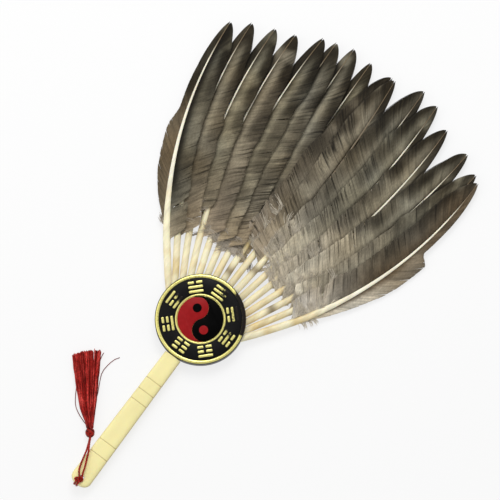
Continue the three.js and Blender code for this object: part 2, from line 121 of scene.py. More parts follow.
FINE_RELIEF = 0.0002
SATIN_RED = (1, 0.3, 0.25, 1)


class Nodes:
    """A short way to build a node tree, and to feed its shader if it has one."""

    def __init__(self, tree):
        self.tree = tree
        self.shader = tree.nodes.get("Principled BSDF")

    def put(self, socket, value):
        """Link an input to a socket, or set it to a plain value; a colour of three numbers gets its fourth."""
        if isinstance(value, bpy.types.NodeSocket):
            self.tree.links.new(value, socket)
        else:
            socket.default_value = (*value, 1) if isinstance(value, np.ndarray) else value

    def add(self, kind, inputs=None, **settings):
        """A node with its settings, and with its inputs linked or set."""
        made = self.tree.nodes.new(kind)
        for key, value in settings.items():
            setattr(made, key, value)
        for key, value in (inputs or {}).items():
            self.put(made.inputs[key], value)
        return made

    def feed(self, name, value):
        """Link or set an input of the shader."""
        self.put(self.shader.inputs[name], value)

    def ramp(self, factor, stops):
        """A grey ramp over a factor, from pairs of place and value."""
        made = self.add("ShaderNodeValToRGB", {"Fac": factor})
        for element, (place, grey) in zip(made.color_ramp.elements, stops):
            element.position = place
            element.color = (grey, grey, grey, 1)
        return made.outputs["Color"]

    def mix(self, factor, first, second, blend="MIX"):
        """A colour mix; a plain colour may stand for either side."""
        made = self.add("ShaderNodeMix", {0: factor, 6: first, 7: second}, data_type="RGBA", blend_type=blend)
        return made.outputs[2]

    def math(self, operation, first, second):
        """One step of arithmetic."""
        return self.add("ShaderNodeMath", {0: first, 1: second}, operation=operation).outputs[0]

    def attribute(self, name, output):
        """A value or colour that the mesh carries."""
        return self.add("ShaderNodeAttribute", attribute_name=name).outputs[output]

    def speckle(self, scale, stretch, contrast):
        """The speckle group placed in this tree; returns its mask and height."""
        made = self.add("ShaderNodeGroup", {0: scale, 1: stretch, 2: contrast}, node_tree=SPECKLE)
        return made.outputs["Mask"], made.outputs["Height"]

    def bump(self, height, strength, distance=FINE_RELIEF):
        """A fine relief on the shader."""
        made = self.add("ShaderNodeBump", {"Height": height, "Strength": strength, "Distance": distance})
        self.feed("Normal", made.outputs["Normal"])


def speckle_group():
    """Node group: soft mottling and a fine height on Object coordinates. Scale sets the grain's fineness,
    Stretch pulls it out along Y, and Contrast widens the spread of the mask about one half."""
    group = bpy.data.node_groups.new("speckle", "ShaderNodeTree")
    for way, names in (("INPUT", ("Scale", "Stretch", "Contrast")), ("OUTPUT", ("Mask", "Height"))):
        for name in names:
            group.interface.new_socket(name, in_out=way, socket_type="NodeSocketFloat")
    n = Nodes(group)
    given = n.add("NodeGroupInput").outputs
    place = n.add("ShaderNodeTexCoord").outputs["Object"]
    shape = n.add("ShaderNodeCombineXYZ", {"X": 1.0, "Y": given["Stretch"], "Z": 1.0}).outputs[0]
    drawn = n.add("ShaderNodeVectorMath", {0: place, 1: shape}, operation="MULTIPLY").outputs[0]
    broad = n.add("ShaderNodeTexNoise", {"Vector": drawn, "Scale": given["Scale"], "Detail": 4.0}).outputs["Fac"]
    finer = n.math("MULTIPLY", given["Scale"], 6.0)
    fine = n.add("ShaderNodeTexNoise", {"Vector": drawn, "Scale": finer, "Detail": 2.0}).outputs["Fac"]
    widened = n.math("MULTIPLY", n.math("SUBTRACT", broad, 0.5), given["Contrast"])
    n.add("NodeGroupOutput", {"Mask": n.math("ADD", widened, 0.5), "Height": fine})
    return group


SPECKLE = speckle_group()


def new_material(name, roughness, **sockets):
    """A material with one Principled shader and its constant values; returns it with its node builder."""
    made = bpy.data.materials.new(name)
    made.use_nodes = True
    n = Nodes(made.node_tree)
    for key, value in {"Roughness": roughness, **sockets}.items():
        n.feed(key.replace("_", " "), value)
    return made, n


def surface(name, roughness, grain, shade, relief, colour=None, **sockets):
    """A finish whose colour, the mesh's tint or the one given, is multiplied by a shade: grain is the speckle's
    scale, stretch and contrast, shade the grey ramp over its mask, and relief the strength and depth of its bump.
    Where a colour is given, the roughness varies with the mask too."""
    made, n = new_material(name, roughness, **sockets)
    mask, height = n.speckle(*grain)
    tint = n.attribute("tint", "Color") if colour is None else colour
    n.feed("Base Color", n.mix(1.0, tint, n.ramp(mask, shade), "MULTIPLY"))
    if colour is not None:
        n.feed("Roughness", n.ramp(mask, [(0.2, roughness * 0.8), (0.8, roughness * 1.25)]))
    n.bump(height, *relief)
    return made


def plain(name, roughness, scale, spread, relief, colour, specular):
    """A solid colour that the speckle lightens and darkens by the same share."""
    return surface(name, roughness, (scale, 1.0, 1.5), [(0.25, 1 - spread), (0.75, 1 + spread)],
                   (relief, FINE_RELIEF), linear(*colour), Specular_IOR_Level=specular)


def gilt_material():
    """Bright gilt over black: the wear of the mesh and a fine grain take the gold off to the dark ground."""
    made, n = new_material("gilt", 0.26, Specular_IOR_Level=0.2)
    mask, height = n.speckle(520, 1.0, 1.3)
    worn = n.math("SUBTRACT", n.attribute("wear", "Fac"), 0.85)
    bare = n.ramp(n.math("ADD", n.math("MULTIPLY", mask, 0.7), worn), [(0.06, 0.0), (0.24, 1.0)])
    gold = n.mix(mask, linear(238, 224, 122), linear(246, 240, 160))
    n.feed("Base Color", n.mix(bare, gold, linear(26, 21, 16)))
    n.feed("Metallic", n.ramp(bare, [(0.0, 0.72), (1.0, 0.1)]))
    n.feed("Roughness", n.ramp(mask, [(0.2, 0.26), (0.8, 0.32)]))
    n.bump(height, 0.02)
    return made


MATERIALS = {
    "feather_vane": surface(
        "feather_barb", 0.62, (900, 0.4, 1.4), [(0.2, 0.8), (0.8, 1.18)], (0.15, FINE_RELIEF),
        Sheen_Weight=0.03, Sheen_Roughness=0.4, Specular_IOR_Level=0.14),
    "quill_horn": surface(
        "quill_horn", 0.38, (260, 0.12, 1.5), [(0.25, 0.86), (0.75, 1.08)], (0.08, FINE_RELIEF),
        Specular_IOR_Level=0.45, Subsurface_Weight=0.12, Subsurface_Radius=(0.003, 0.002, 0.001)),
    "cream_bone": surface(
        "cream_bone", 0.36, (60, 0.35, 1.6), [(0.25, 0.95), (0.75, 1.04)], (0.05, 0.0003),
        Specular_IOR_Level=0.5, Subsurface_Weight=0.1, Subsurface_Radius=(0.004, 0.003, 0.0015)),
    "red_silk": surface(
        "red_silk", 0.4, (700, 1.0, 1.8), [(0.2, 0.6), (0.8, 1.4)], (0.2, FINE_RELIEF), Sheen_Weight=0.08,
        Sheen_Roughness=0.35, Sheen_Tint=SATIN_RED, Specular_Tint=SATIN_RED, Specular_IOR_Level=0.4),
    "gilt": gilt_material(),
    "black_plastic": plain("black_plastic", 0.38, 500, 0.25, 0.1, (20, 19, 18), 0.3),
    "black_enamel": plain("black_enamel", 0.45, 700, 0.2, 0.12, (17, 17, 17), 0.1),
    "red_lacquer": plain("red_lacquer", 0.35, 300, 0.06, 0.03, (152, 20, 24), 0.12),
    "black_lacquer": plain("black_lacquer", 0.35, 300, 0.1, 0.03, (5, 5, 5), 0.03),
}

# Mesh helpers

AXIS_RADIUS = 0.02
RING_SEGMENTS = 192


def new_piece(name, points, faces, slot, replaces=(), body="fan"):
    """A smooth mesh piece from arrays of points and faces, riding on a body and standing for CAD nodes."""
    mesh = bpy.data.meshes.new(name)
    mesh.from_pydata(np.asarray(points).reshape(-1, 3).tolist(), [], faces)
    mesh.polygons.foreach_set("use_smooth", np.ones(len(mesh.polygons), bool))
    mesh.materials.append(MATERIALS[slot])
    piece = bpy.data.objects.new(name, mesh)
    bpy.context.collection.objects.link(piece)
    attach(piece, body)
    if replaces:
        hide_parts(*replaces)
    return piece


def give_tint(piece, tint):
    """One colour for each point of a piece, for its material to read."""
    layer = piece.data.attributes.new("tint", "FLOAT_COLOR", "POINT")
    colour = np.concatenate([tint.reshape(-1, 3), np.ones((tint.size // 3, 1))], -1)
    layer.data.foreach_set("color", np.clip(colour, 0, 1).astype(np.float32).ravel())


def grid_faces(rows, sides, tubes=1, closed=False):
    """Quads over rows of closed rings, for tubes whose points follow one another. The last row of a closed tube
    meets its first; any other tube has a flat cap at each end."""
    i = np.arange(rows if closed else rows - 1)[:, None]
    j = np.arange(sides)[None]
    k, n = (j + 1) % sides, (i + 1) % rows
    quads = np.stack([i * sides + j, i * sides + k, n * sides + k, n * sides + j], -1).reshape(-1, 4)
    first = np.arange(tubes)[:, None, None] * rows * sides
    faces = (first + quads).reshape(-1, 4).tolist()
    if not closed:
        ends = np.stack([np.arange(sides)[::-1], (rows - 1) * sides + np.arange(sides)])
        faces += (first + ends).reshape(-1, sides).tolist()
    return faces


def circle(count):
    """Angles all round, and the points of a circle of radius 1 at them; arrays of point, and of point by 2."""
    angle = np.arange(count) / count * 2 * np.pi
    return angle, np.stack([np.cos(angle), np.sin(angle)], -1)


def many_tubes(paths, across, up, half_widths, profile):
    """Points and faces of many tubes: paths and two unit directions are arrays of tube by row by 3. Each ring is
    the profile, an array of side by 2, scaled by the half width and laid along the two directions."""
    tubes, rows = paths.shape[:2]
    ring = profile[:, :1] * across[:, :, None] + profile[:, 1:] * up[:, :, None]
    points = paths[:, :, None] + half_widths[:, :, None, None] * ring
    return points.reshape(-1, 3), grid_faces(rows, len(profile), tubes)


def directions(paths):
    """Level unit directions across some paths, and the upward ones square to both, for tubes laid about level."""
    tangent = unit(np.gradient(paths, axis=-2))
    across = unit(np.cross(np.array([0, 0, 1.0]), tangent))
    return across, np.cross(tangent, across)


def turned(profile, segments=160, closed=False):
    """A surface of revolution about +Z from pairs of radius and height: an open profile starts and ends on the
    axis, and a closed one runs up the outside of a ring and down its inside."""
    radius, height = np.asarray(profile, float).T[..., None, None]
    flat = np.maximum(radius, AXIS_RADIUS) * circle(segments)[1]
    points = np.concatenate([flat, np.broadcast_to(height, (len(profile), segments, 1))], -1)
    return points * MM, grid_faces(len(profile), segments, closed=closed)


# Feathers: the axes of the CAD feathers, in millimetres, with the barbs laid out along them

FOCUS_BELOW_HUB = 45
FEATHER_STEP = math.radians(5)
FAN_LEAN = math.radians(1.6)
HUB_MIDDLE = 7
QUILL_START = 52
QUILL_TAPER = 26
QUILL_END_RADIUS = 1.7
QUILL_RADIUS = 2.6
QUILL_SIDES = 18
RACHIS_TIP_RADIUS = 0.25
BEND_START = 100
VANE_START = 112
VANE_GROWTH = 6
LAP_ROOM = 1.6
MIDDLE_DROP = 1.3
MIDDLE_RISE = 1.2
FEATHER_REACH = 325
WIDE_VANE = 19
NARROW_VANE = 7.5
AXIS_STEP = 2.0
TIP_GAP = 3
BARB_PITCH = 0.6
BARB_ROWS = 10
BARB_PROFILE = np.array([[1, 0], [0, 0.26], [-1, 0], [0, -0.2]])
RIB_PITCH = 4.1
# Share of barbs darkened as painted shade of fine splits
SPLIT_SHADE_SHARE = 0.05
DOWN_LOCK = 14
LOWEST_DOWN = 0.5
BROAD_SEED = 2453

# How each feather differs, outermost first: its reach beyond the usual one, the lean of its tip in degrees, where
# its vane starts, how crumpled it is, its strands of down, its lower and upper width, the length of its pale foot,
# and its tone
LEFT_ROWS = [
    (-4.5, -2, 0, 0.3, 32, 18.3, 18.3, 34, 0),
    (-3.5, -1.5, 4, 0.5, 16, 19.5, 18.3, 66, -0.12),
    (-4, 0.5, 26, 0.4, 32, 18.6, 17, 56, -0.08),
    (-4.5, 1, 6, 0.6, 24, 21.5, 20, 64, 0),
    (1.5, 4, 3, 0.7, 32, 21, 19, 66, -0.05),
    (1.5, 1, 2, 0.9, 98, 21.5, 19, 68, -0.05),
    (3.5, 0, 0, 1.2, 196, 20.5, 19, 80, 0.06),
    (0.5, 0.5, -3, 1.2, 224, 16, 16, 84, 0.2),
]
RIGHT_ROWS = [
    (1.5, 0.7, 4, 0.1, 200, 20, 19.5, 95, 0),
    (0.5, 6.3, 10, 0.25, 240, 18, 18, 132, 0.1),
    (3.5, 5.7, 8, 0.45, 280, 20.5, 19.5, 130, 0.1),
    (2.5, 0.5, 6, 0.9, 280, 18.5, 18.5, 116, 0.05),
    (10, -1, 8, 1.2, 280, 20, 20, 100, 0),
    (10.5, -0.5, 14, 1.5, 280, 19, 21, 86, -0.05),
    (0.5, -4.5, 8, 1.6, 240, 18, 18, 64, 0),
    (0, 3, 18, 1.5, 200, 20, 19, 50, -0.25),
]
# Places and widths of the open slits, and the places of dark pith in the quills
SLITS = {
    "left_1": [(138, 6)], "left_5": [(236, 2.5), (201, 2)],
    "right_3": [(152, 2)], "right_6": [(192, 2.5)], "right_8": [(143, 4)],
}
PITH = {"right_2": 111, "right_6": 101, "left_8": 96}

MID, DARK, LIGHT = linear(118, 109, 91), linear(42, 36, 25), linear(166, 157, 133)
LEFT_FOOT, RIGHT_FOOT, MIDDLE_FOOT = linear(170, 154, 129), linear(218, 207, 186), linear(178, 166, 145)
BROWN, BAND_BROWN = linear(108, 91, 68), linear(86, 72, 53)
CREAM_EDGE, GREY_EDGE = linear(226, 214, 188), linear(158, 144, 120)
PALE_DOWN, GREY_DOWN, DARK_DOWN = linear(230, 220, 200), linear(206, 195, 177), linear(84, 70, 54)
CREAM, TAN, RACHIS = linear(250, 242, 206), linear(228, 204, 146), linear(252, 247, 228)
HORN_TIP, PITH_DARK = linear(120, 100, 72), linear(112, 92, 62)
HUE_DRIFT = np.array([0.03, 0, -0.05])


def spun(points, angle):
    """Points turned anticlockwise about +Z by an angle."""
    c, d = math.cos(angle), math.sin(angle)
    return points @ np.array([[c, d, 0], [-d, c, 0], [0, 0, 1]])


class Feather:
    """One wing feather: side is 1 on the left and -1 on the right, place counts the steps from the middle, and s
    is the distance from the focus. Arrays of s may have any shape."""

    def __init__(self, side, number, place, row):
        self.side = side
        self.number = number
        self.name = f"{self.pick('left', 'right')}_{number}"
        extra, lean, self.base, self.ribs, self.fluff, self.width, self.upper, self.pale, self.tone = row
        self.reach = FEATHER_REACH + extra
        self.root = -side * place * FEATHER_STEP
        self.tip = math.radians(lean)
        self.seed = number + self.pick(100, 200)
        self.foot = self.pick(LEFT_FOOT, RIGHT_FOOT if number > 2 else MIDDLE_FOOT)
        self.inner = None
        self.outer = None

    def pick(self, left, right):
        """The value that goes with this feather's wing."""
        return left if self.side > 0 else right

    def axis(self, s):
        """Points of the axis, and level directions to its inner side: straight, then an arc to the tip's lean.
        The left wing's feather in the middle drops a little along its vane."""
        bend = (self.tip - self.root) / (self.reach - BEND_START)
        heading = self.root + bend * np.maximum(s - BEND_START, 0)
        straight = np.minimum(s, BEND_START)
        x = straight * math.sin(self.root) + (math.cos(self.root) - np.cos(heading)) / bend
        y = straight * math.cos(self.root) - FOCUS_BELOW_HUB + (np.sin(heading) - math.sin(self.root)) / bend
        drop = MIDDLE_DROP if self.name == "left_8" else 0
        point = np.stack([x, y, HUB_MIDDLE - drop * ease(s, VANE_START, VANE_START + 48)], -1)
        across = np.stack([np.cos(heading), -np.sin(heading), np.zeros_like(x)], -1) * self.side
        return spun(point, FAN_LEAN), spun(across, FAN_LEAN)

    def radius(self, s):
        """Radius of the quill: a barrel that swells from its end, then a long taper to the tip."""
        grown = np.clip((s - QUILL_START) / QUILL_TAPER, 0, 1)
        barrel = QUILL_END_RADIUS + (QUILL_RADIUS - QUILL_END_RADIUS) * grown
        left = np.clip((self.reach - s) / (self.reach - VANE_START), 0, 1)
        return RACHIS_TIP_RADIUS + (barrel - RACHIS_TIP_RADIUS) * left**0.95

    def start(self, wide):
        """Where a side of the vane starts."""
        return VANE_START + (self.base if wide else 0.5 * self.base)

    def spread(self, s):
        """Extra width of the narrow side: the two outermost feathers have a broad lower half there."""
        if self.name == "left_1":
            grown = bell(np.minimum(s, 180), 180, 30) * ease(s, 233, 210)
            return 5.9 * grown - 0.4 * ease(s, 255, 275)
        if self.name == "right_8":
            return 8.5 * ease(s, 140, 215) * ease(s, 248, 240) - ease(s, 238, 246)
        return 0

    def outline(self, s, wide):
        """Width of one side of the vane at distances s: quick growth at the base, even sides and a round tip."""
        start = self.start(wide)
        if wide:
            growth, tip = 10, 70
            full = self.width + (self.upper - self.width) * ease(s, 215, 255)
            full = full + 0.7 * soft_noise(s / 13, self.seed + 9)
        else:
            growth, tip = 42, 62
            full = NARROW_VANE + self.spread(s)
        closing = np.clip((s - self.reach + tip) / tip, 0, 1)
        return full * ease(s, start - VANE_GROWTH, start + growth) * (1 - closing**2.2) ** 0.6

    def nearest(self, points):
        """The way from points, in space or in plan, to this feather's axis, and the nearest place on it."""
        t = np.arange(VANE_START, self.reach, AXIS_STEP)
        way = np.linalg.norm(points[..., None, :] - self.axis(t)[0][:, : points.shape[-1]], axis=-1)
        return way.min(-1), t[way.argmin(-1)]

    def lap_slope(self, s, neighbour):
        """Rise over run with which a vane passes over the neighbour's rachis, and the way to that rachis."""
        gap, place = neighbour.nearest(self.axis(s)[0])
        return (np.maximum(neighbour.radius(place), self.radius(s)) + LAP_ROOM) / gap, gap

    def vane_slopes(self, s):
        """Slopes of the inner and outer side of the vane at distances s, and the gap to the inner neighbour."""
        inner, gap = self.lap_slope(s, self.inner)
        outer = inner
        if self.outer:
            outer = self.outer.lap_slope(np.minimum(s, self.outer.reach), self)[0]
        if self is MIDDLE_LEFT:
            inner = -MIDDLE_RIGHT.lap_slope(np.minimum(s, MIDDLE_RIGHT.reach), self)[0]
        return inner, outer, gap

    def above(self):
        """The neighbours whose vanes lie over this feather."""
        return [other for other in (self.outer, MIDDLE_RIGHT if self is MIDDLE_LEFT else None) if other]


def make_wing(side, rows):
    """The feathers of one wing, outermost first, each knowing its neighbours."""
    count = len(rows)
    wing = [Feather(side, i + 1 if side > 0 else count - i, count - 0.5 - i, row) for i, row in enumerate(rows)]
    for first, second in zip(wing, wing[1:]):
        first.inner, second.outer = second, first
    return wing


LEFT_WING, RIGHT_WING = make_wing(1, LEFT_ROWS), make_wing(-1, RIGHT_ROWS)
MIDDLE_LEFT, MIDDLE_RIGHT = LEFT_WING[-1], RIGHT_WING[-1]
MIDDLE_LEFT.inner, MIDDLE_RIGHT.inner = MIDDLE_RIGHT, MIDDLE_LEFT


def clumps(s, seed, shortest, longest, most=200):
    """Groups of neighbouring barbs: each barb's place in its group, 0 to 1, the group's length, and eight random
    numbers of the group."""
    random = np.random.default_rng(seed)
    lengths = random.uniform(shortest, longest, most)
    edges = s[0] - 1 + np.concatenate([[0], np.cumsum(lengths)])
    group = np.searchsorted(edges, s, side="right") - 1
    return (s - edges[group]) / lengths[group], lengths[group], random.normal(size=(most, 8)).T[:, group]


def partings(feather, s, wide, random):
    """How far the ends of barbs are pushed along the vane by its partings: at each one the barbs below are pushed
    back and those above forward, less and less with the way from it, so that a narrow slit opens."""
    shift = np.zeros_like(s)
    slits = list(SLITS.get(feather.name, [])) if wide else []
    for place in random.uniform(VANE_START + 20, feather.reach - 95, 5 if wide else 1):
        slits.append((place, random.uniform(0.4, 1.3)))
    for place, size in slits:
        away = s - place
        shift += np.sign(away) * 0.5 * size * np.exp(-np.abs(away) / 7)
    return shift


def barb_layout(feather, wide):
    """Roots, widths and forward runs of the barbs of one side. A barb leaves the rachis at s and runs out to the
    outline, forward by its width over the tangent of its angle; the angle closes towards the tip. The width where
    the barb meets the outline is found by halving."""
    start = feather.start(wide)
    s = np.arange(start - 5, feather.reach - TIP_GAP, BARB_PITCH)[:, None]
    s = s + 1.1 * ease(s, feather.reach - 14, feather.reach - TIP_GAP)
    f = (s - VANE_START) / (feather.reach - VANE_START)
    base = ease(s, start + 24, start)
    if wide:
        angle = 62 - 40 * ease(f, 0.5, 1) + 18 * base
    else:
        angle = 38 - 20 * ease(f, 0.4, 1) + 20 * base
    forward = 1 / np.tan(np.radians(angle))
    low, high = np.zeros_like(s), np.full_like(s, 32.0)
    for _ in range(18):
        width = (low + high) / 2
        inside = feather.outline(s + width * forward, wide) > width
        low, high = np.where(inside, width, low), np.where(inside, high, width)
    return s, f, width, forward, np.sin(np.radians(angle))


def edge_shadow(feather, paths):
    """Painted shadow beside the edge of a neighbour's vane that lies over each point: 1 at the edge, 0 two
    millimetres away. The edge is the outline's width away from the neighbour's axis."""
    close = np.zeros(paths.shape[:2])
    for other in feather.above():
        way, place = other.nearest(paths[..., :2])
        close = np.maximum(close, bell(way - other.outline(place, True), 0.3, 1.1))
    return close


def barbs(feather, wide):
    """The barbs of one side of a vane, as paths, half widths and colours. A barb bends towards the tip and rises
    or falls with the slope of its side. Small locks drift and shade together. Wider folds rise like shingles, with
    painted shade in a crease where some of them start. In places fine ribs run across the barbs, with painted
    highlight and shade on them, and partings open slits."""
    seed = feather.seed * 10 + (1 if wide else 2)
    random = np.random.default_rng(seed)
    s, f, width, forward, closeness = barb_layout(feather, wide)
    lock_part, lock_length, lock = clumps(s, seed, 2.5, 9.0)
    fold_part, fold_length, fold = clumps(s, seed + 40, *feather.pick((9, 30), (5, 20)))

    # Widths, kept clear of the middle feathers
    steady = ease(feather.reach - s, 20, 100)
    width = width * (1 + steady * (0.012 * lock[0] + 0.005 * random.normal(size=s.shape)))
    inner_slope, outer_slope, gap = feather.vane_slopes(s)
    if wide and feather is MIDDLE_LEFT:
        width = np.minimum(width, gap - 4)
    if wide and feather is MIDDLE_LEFT.outer:
        width = np.minimum(width, gap - 0.5 + 10 * ease(s, 185, 245))
    radius = feather.radius(s)
    width = np.maximum(width, radius + 0.5)

    # Paths in plan: v runs from root to end of a barb, and u is the way from the axis
    v = np.linspace(0, 1, BARB_ROWS)[None]
    u = 0.6 * radius + (width - 0.6 * radius) * v
    loose = np.minimum(width / WIDE_VANE, 1)
    calm = ease(feather.reach - s, 35, 130)
    drift = (0.1 * (0.5 - lock_part) * lock_length + 0.25 * lock[2] * loose) * calm
    drift = drift + partings(feather, s, wide, random) * loose
    along = np.minimum(s + forward * width * v**1.2 + drift * v**1.5, feather.reach + 0.5)
    point, across = feather.axis(along)
    paths = point + (u if wide else -u)[..., None] * across

    # Heights: ribs, waves, folds and locks on the slope of the side
    outer_part = ease(v, 0.15, 0.8) * loose
    ribbed = feather.ribs * ease(soft_noise(s / 20, seed + 4), -0.3, 0.8) * outer_part
    ribbed = ribbed * feather.pick(1, 0.35 + 0.65 * ease(s, 150, 205))
    phase = 2 * np.pi * s / RIB_PITCH + 1.8 * soft_noise(s / 7, seed + 3)
    phase = phase + 1.3 * patches(along / 14, u / 7, seed + 8)
    turn = np.sin(phase) * (0.75 + 0.45 * soft_noise(s / 3.5, seed + 9))
    rib, groove_shade = turn * ribbed, ease(-turn, 0.35, 0.95) * ribbed
    wave = patches(along / 13, u / 9, seed + 5) * v * loose
    shingle = (fold_part - 0.5) * (0.45 + 0.7 * np.abs(fold[0])) * outer_part * calm
    lift = 0.1 * lock[3] * v**1.6 * loose * calm
    bend = lift + 0.45 * wave + shingle if wide else 0.3 * (lift + wave)
    if wide and feather is MIDDLE_RIGHT:
        bend = bend + MIDDLE_RISE * ease(v, 0.3, 0.8) * ease(s, 116, 138)
    paths[..., 2] += (inner_slope if wide else -outer_slope) * u + bend + 0.3 * rib * calm
    half = (0.14 + 0.62 * BARB_PITCH * closeness) * (1 - 0.2 * v**2) * (1 - 0.45 * ease(v, 0.93, 1))

    # Colours: streaks of single barbs, painted highlight and shade of the relief, painted shade of creases and
    # fine splits, and painted shadow lines where a neighbour's edge lies
    x, y = paths[..., 0], paths[..., 1]
    streak = 0.17 * patches(s / 2.4, u / 9, seed + 6) + 0.14 * patches(x / 30, y / 30, BROAD_SEED)
    streak = streak + (0.06 + 0.06 * feather.ribs) * random.normal(size=s.shape)
    # A few barbs are darkened: painted shade of fine splits between barbs.
    streak = streak - (0.24 + 0.16 * feather.ribs) * (random.random(s.shape) > 1 - SPLIT_SHADE_SHARE) * outer_part
    # Painted shade in the crease where a fold starts.
    crease_shade = bell(fold_part * fold_length, 0, 1.1) * np.clip(0.8 * fold[1] + 0.12, 0, 1)
    # Painted highlight on the ribs and painted shade in their grooves and on the waves; lock[5] gives each lock a
    # random tone.
    shade = 0.18 * rib - 0.6 * groove_shade + 0.05 * ribbed + 0.12 * wave + 0.1 * lock[5] * v
    shade = shade + (feather.pick(0.15, 0.19) * fold[2] - 1.3 * crease_shade) * outer_part
    # Painted shadow beside the edge of a neighbour's vane, stronger towards the tip.
    shadow_weight = 0.15 + 0.55 * ease(f, *feather.pick((0.5, 0.75), (0.25, 0.6)))
    shade = shade - edge_shadow(feather, paths) * shadow_weight
    hue = patches(x / 22, y / 22, BROAD_SEED + 1)[..., None] * HUE_DRIFT
    tint = barb_tint(feather, along, v + 0 * u, u - radius, wide) * np.exp(hue)
    return paths, half, tint * np.exp(np.clip(shade + streak, -2, 0.24))[..., None]


def barb_tint(feather, along, v, from_rachis, wide):
    """Colour along each barb: beige at the vane's base, taupe in its middle with paler patches and a paler band
    beside the rachis, and dark at the tip. Towards the far edge of the wide side and over the narrow side it
    darkens with painted shade of the overlapping feathers."""
    f = (along - VANE_START) / (feather.reach - VANE_START)
    before_tip = feather.reach - along
    clouds = patches(along / 15, from_rachis / 10, feather.seed + 7)
    if wide:
        band = bell(from_rachis, 4.5, 3.2)
        dark = 0.2 + feather.pick(0.54, 0.45) * ease(before_tip, 130, 10)
        dark = dark + feather.pick(0.42, 0.08) * ease(before_tip, 45, 0)
        # Painted shade of the next feather: darker towards the far edge.
        dark = dark + feather.pick(0.34, 0.24) * ease(v, 0.35, 0.95) * ease(f, 0.3, 0.68)
        dark = dark * (1 - 0.35 * band * ease(before_tip, 8, 40))
    else:
        band = 0
        # Painted shade over the whole narrow side, which lies under the neighbour's vane.
        dark = 0.48 + 0.44 * ease(f, 0.25, 0.7)
    tint = mixed(MID, DARK, dark - 0.17 * clouds)
    pale = feather.pick(0.45, 0.25) * band * ease(f, 0.25, 0.5) * ease(before_tip, 10, 45)
    tint = mixed(tint, LIGHT, pale + 0.3 * ease(clouds, 0.3, 1.6))
    foot = feather.start(True)
    low = ease(along, foot + feather.pale, foot)
    tint = mixed(tint, feather.foot, (0.85 + 0.15 * clouds) * low**1.3)
    if feather.outer is None:
        tint = edge_tint(feather, tint, f, v, from_rachis, wide)
    random = np.random.default_rng(feather.seed)
    tone = feather.tone * ease(f, 0.2, 0.5) + 0.04 * random.normal()
    return tint * np.exp(tone[..., None] + 0.012 * random.normal(size=3))


def edge_tint(feather, tint, f, v, from_rachis, wide):
    """The outermost feathers' own colours: beside the rachis nearly black on the left and brown on the right, and
    brown on the narrow side, which has a cream to grey rim on the right."""
    if wide and feather.side > 0:
        return mixed(tint, 0.35 * DARK, 0.95 * bell(from_rachis, 1, 6) * ease(f, 0.1, 0.25))
    if wide:
        beside = bell(from_rachis, 2, 8) * ease(f, 0.15, 0.45) * ease(f, 1, 0.86)
        return mixed(tint, BAND_BROWN, 0.85 * beside)
    rim = BROWN
    if feather.side < 0:
        rim = mixed(BROWN, mixed(CREAM_EDGE, GREY_EDGE, ease(f, 0.3, 0.5)),
                    ease(v, 0.05, 0.5) * (1 - 0.8 * ease(f, 0.58, 0.68)))
    return mixed(tint, rim, 0.9 * (1 - feather.pick(1, 0.3) * ease(f, 0.5, 0.68)))


def down(feather):
    """Loose downy barbs at the foot of a vane: thin wavy lines that leave the quill. On the right wing they lie
    forward over the vane like pale fluff; on the left they bend back towards the hub, darker near the middle.
    The left wing's outermost feather has a short tuft on its outer side."""
    random = np.random.default_rng(feather.seed + 61)
    count = feather.fluff
    pale = feather.side < 0
    outermost = feather.outer is None
    tuft = outermost and not pale
    swirl = feather.number > 5 and not pale
    shared = random.random((count // DOWN_LOCK + 1, 6))[np.arange(count) // DOWN_LOCK].T[..., None]

    def drawn(low, high):
        return random.uniform(low, high, (count, 1))

    low, high = (12, 22) if tuft else (-9, 40) if pale else (-2, 16)
    s = VANE_START + feather.base + low + (high - low) * shared[0] + drawn(-1.5, 1.5)
    side = np.where(shared[1] < (0 if tuft else 0.35 if swirl else 0.72), 1, -1)
    s = np.where((side < 0) & pale & outermost, VANE_START + drawn(6, 20), s)
    length = (7 + 12 * shared[2]) * drawn(0.7, 1) * np.where(side < 0, 1.25 if swirl else 0.6, 1)
    v = np.linspace(0, 1, BARB_ROWS)[None]
    if pale or tuft:
        turn = np.radians(15 + 60 * shared[3]) + (1.8 * shared[4] - 0.9) * v
    else:
        turn = np.radians(45 + 50 * shared[3]) + (0.2 + 1.1 * shared[4]) * v
    turn = turn + 0.12 * random.normal(size=(count, 1))
    turn = turn + 0.2 * np.sin(6 * shared[5] + drawn(0, 1.5)) * np.sin(7 * v)
    step = length / (BARB_ROWS - 1)
    along = s + np.cumsum(np.cos(turn) * step, 1)
    out = 0.7 * feather.radius(s) + np.cumsum(np.sin(turn) * step, 1)
    inner_slope, outer_slope, _ = feather.vane_slopes(s)
    slope = np.where(side > 0, inner_slope, 0 if swirl else -outer_slope)
    point, across = feather.axis(along)
    paths = point + (side * out)[..., None] * across
    rise = drawn(*feather.pick((-0.6, 0.9), (0.2, 1.6))) * v + np.where(side < 0, 2.6 if swirl else 0, 0)
    paths[..., 2] = np.maximum(paths[..., 2] + slope * out + rise, LOWEST_DOWN)
    half = drawn(0.16, feather.pick(0.28, 0.36)) * (1 - 0.75 * v**2)
    tone = (0.6 * shared[5] + 0.4 * random.random((count, 1))) ** 1.5
    dark = 0.34 if pale else 1.0 if outermost else 0.62 if swirl else 0.5
    return paths, half, mixed(feather.pick(GREY_DOWN, PALE_DOWN), DARK_DOWN, tone * dark + 0 * v)


def lying(paths):
    """Section directions of barbs that lie side by side: across is square to the barb in the vane's own surface,
    found from the next barbs, and up is the surface's normal."""
    tangent = unit(np.gradient(paths, axis=1))
    normal = np.cross(tangent, np.gradient(paths, axis=0))
    normal = unit(normal * np.sign(normal[..., 2:] + 1e-9))
    normal[..., 2] = np.maximum(normal[..., 2], 0.35)
    across = unit(np.cross(normal, tangent))
    return across, np.cross(tangent, across)


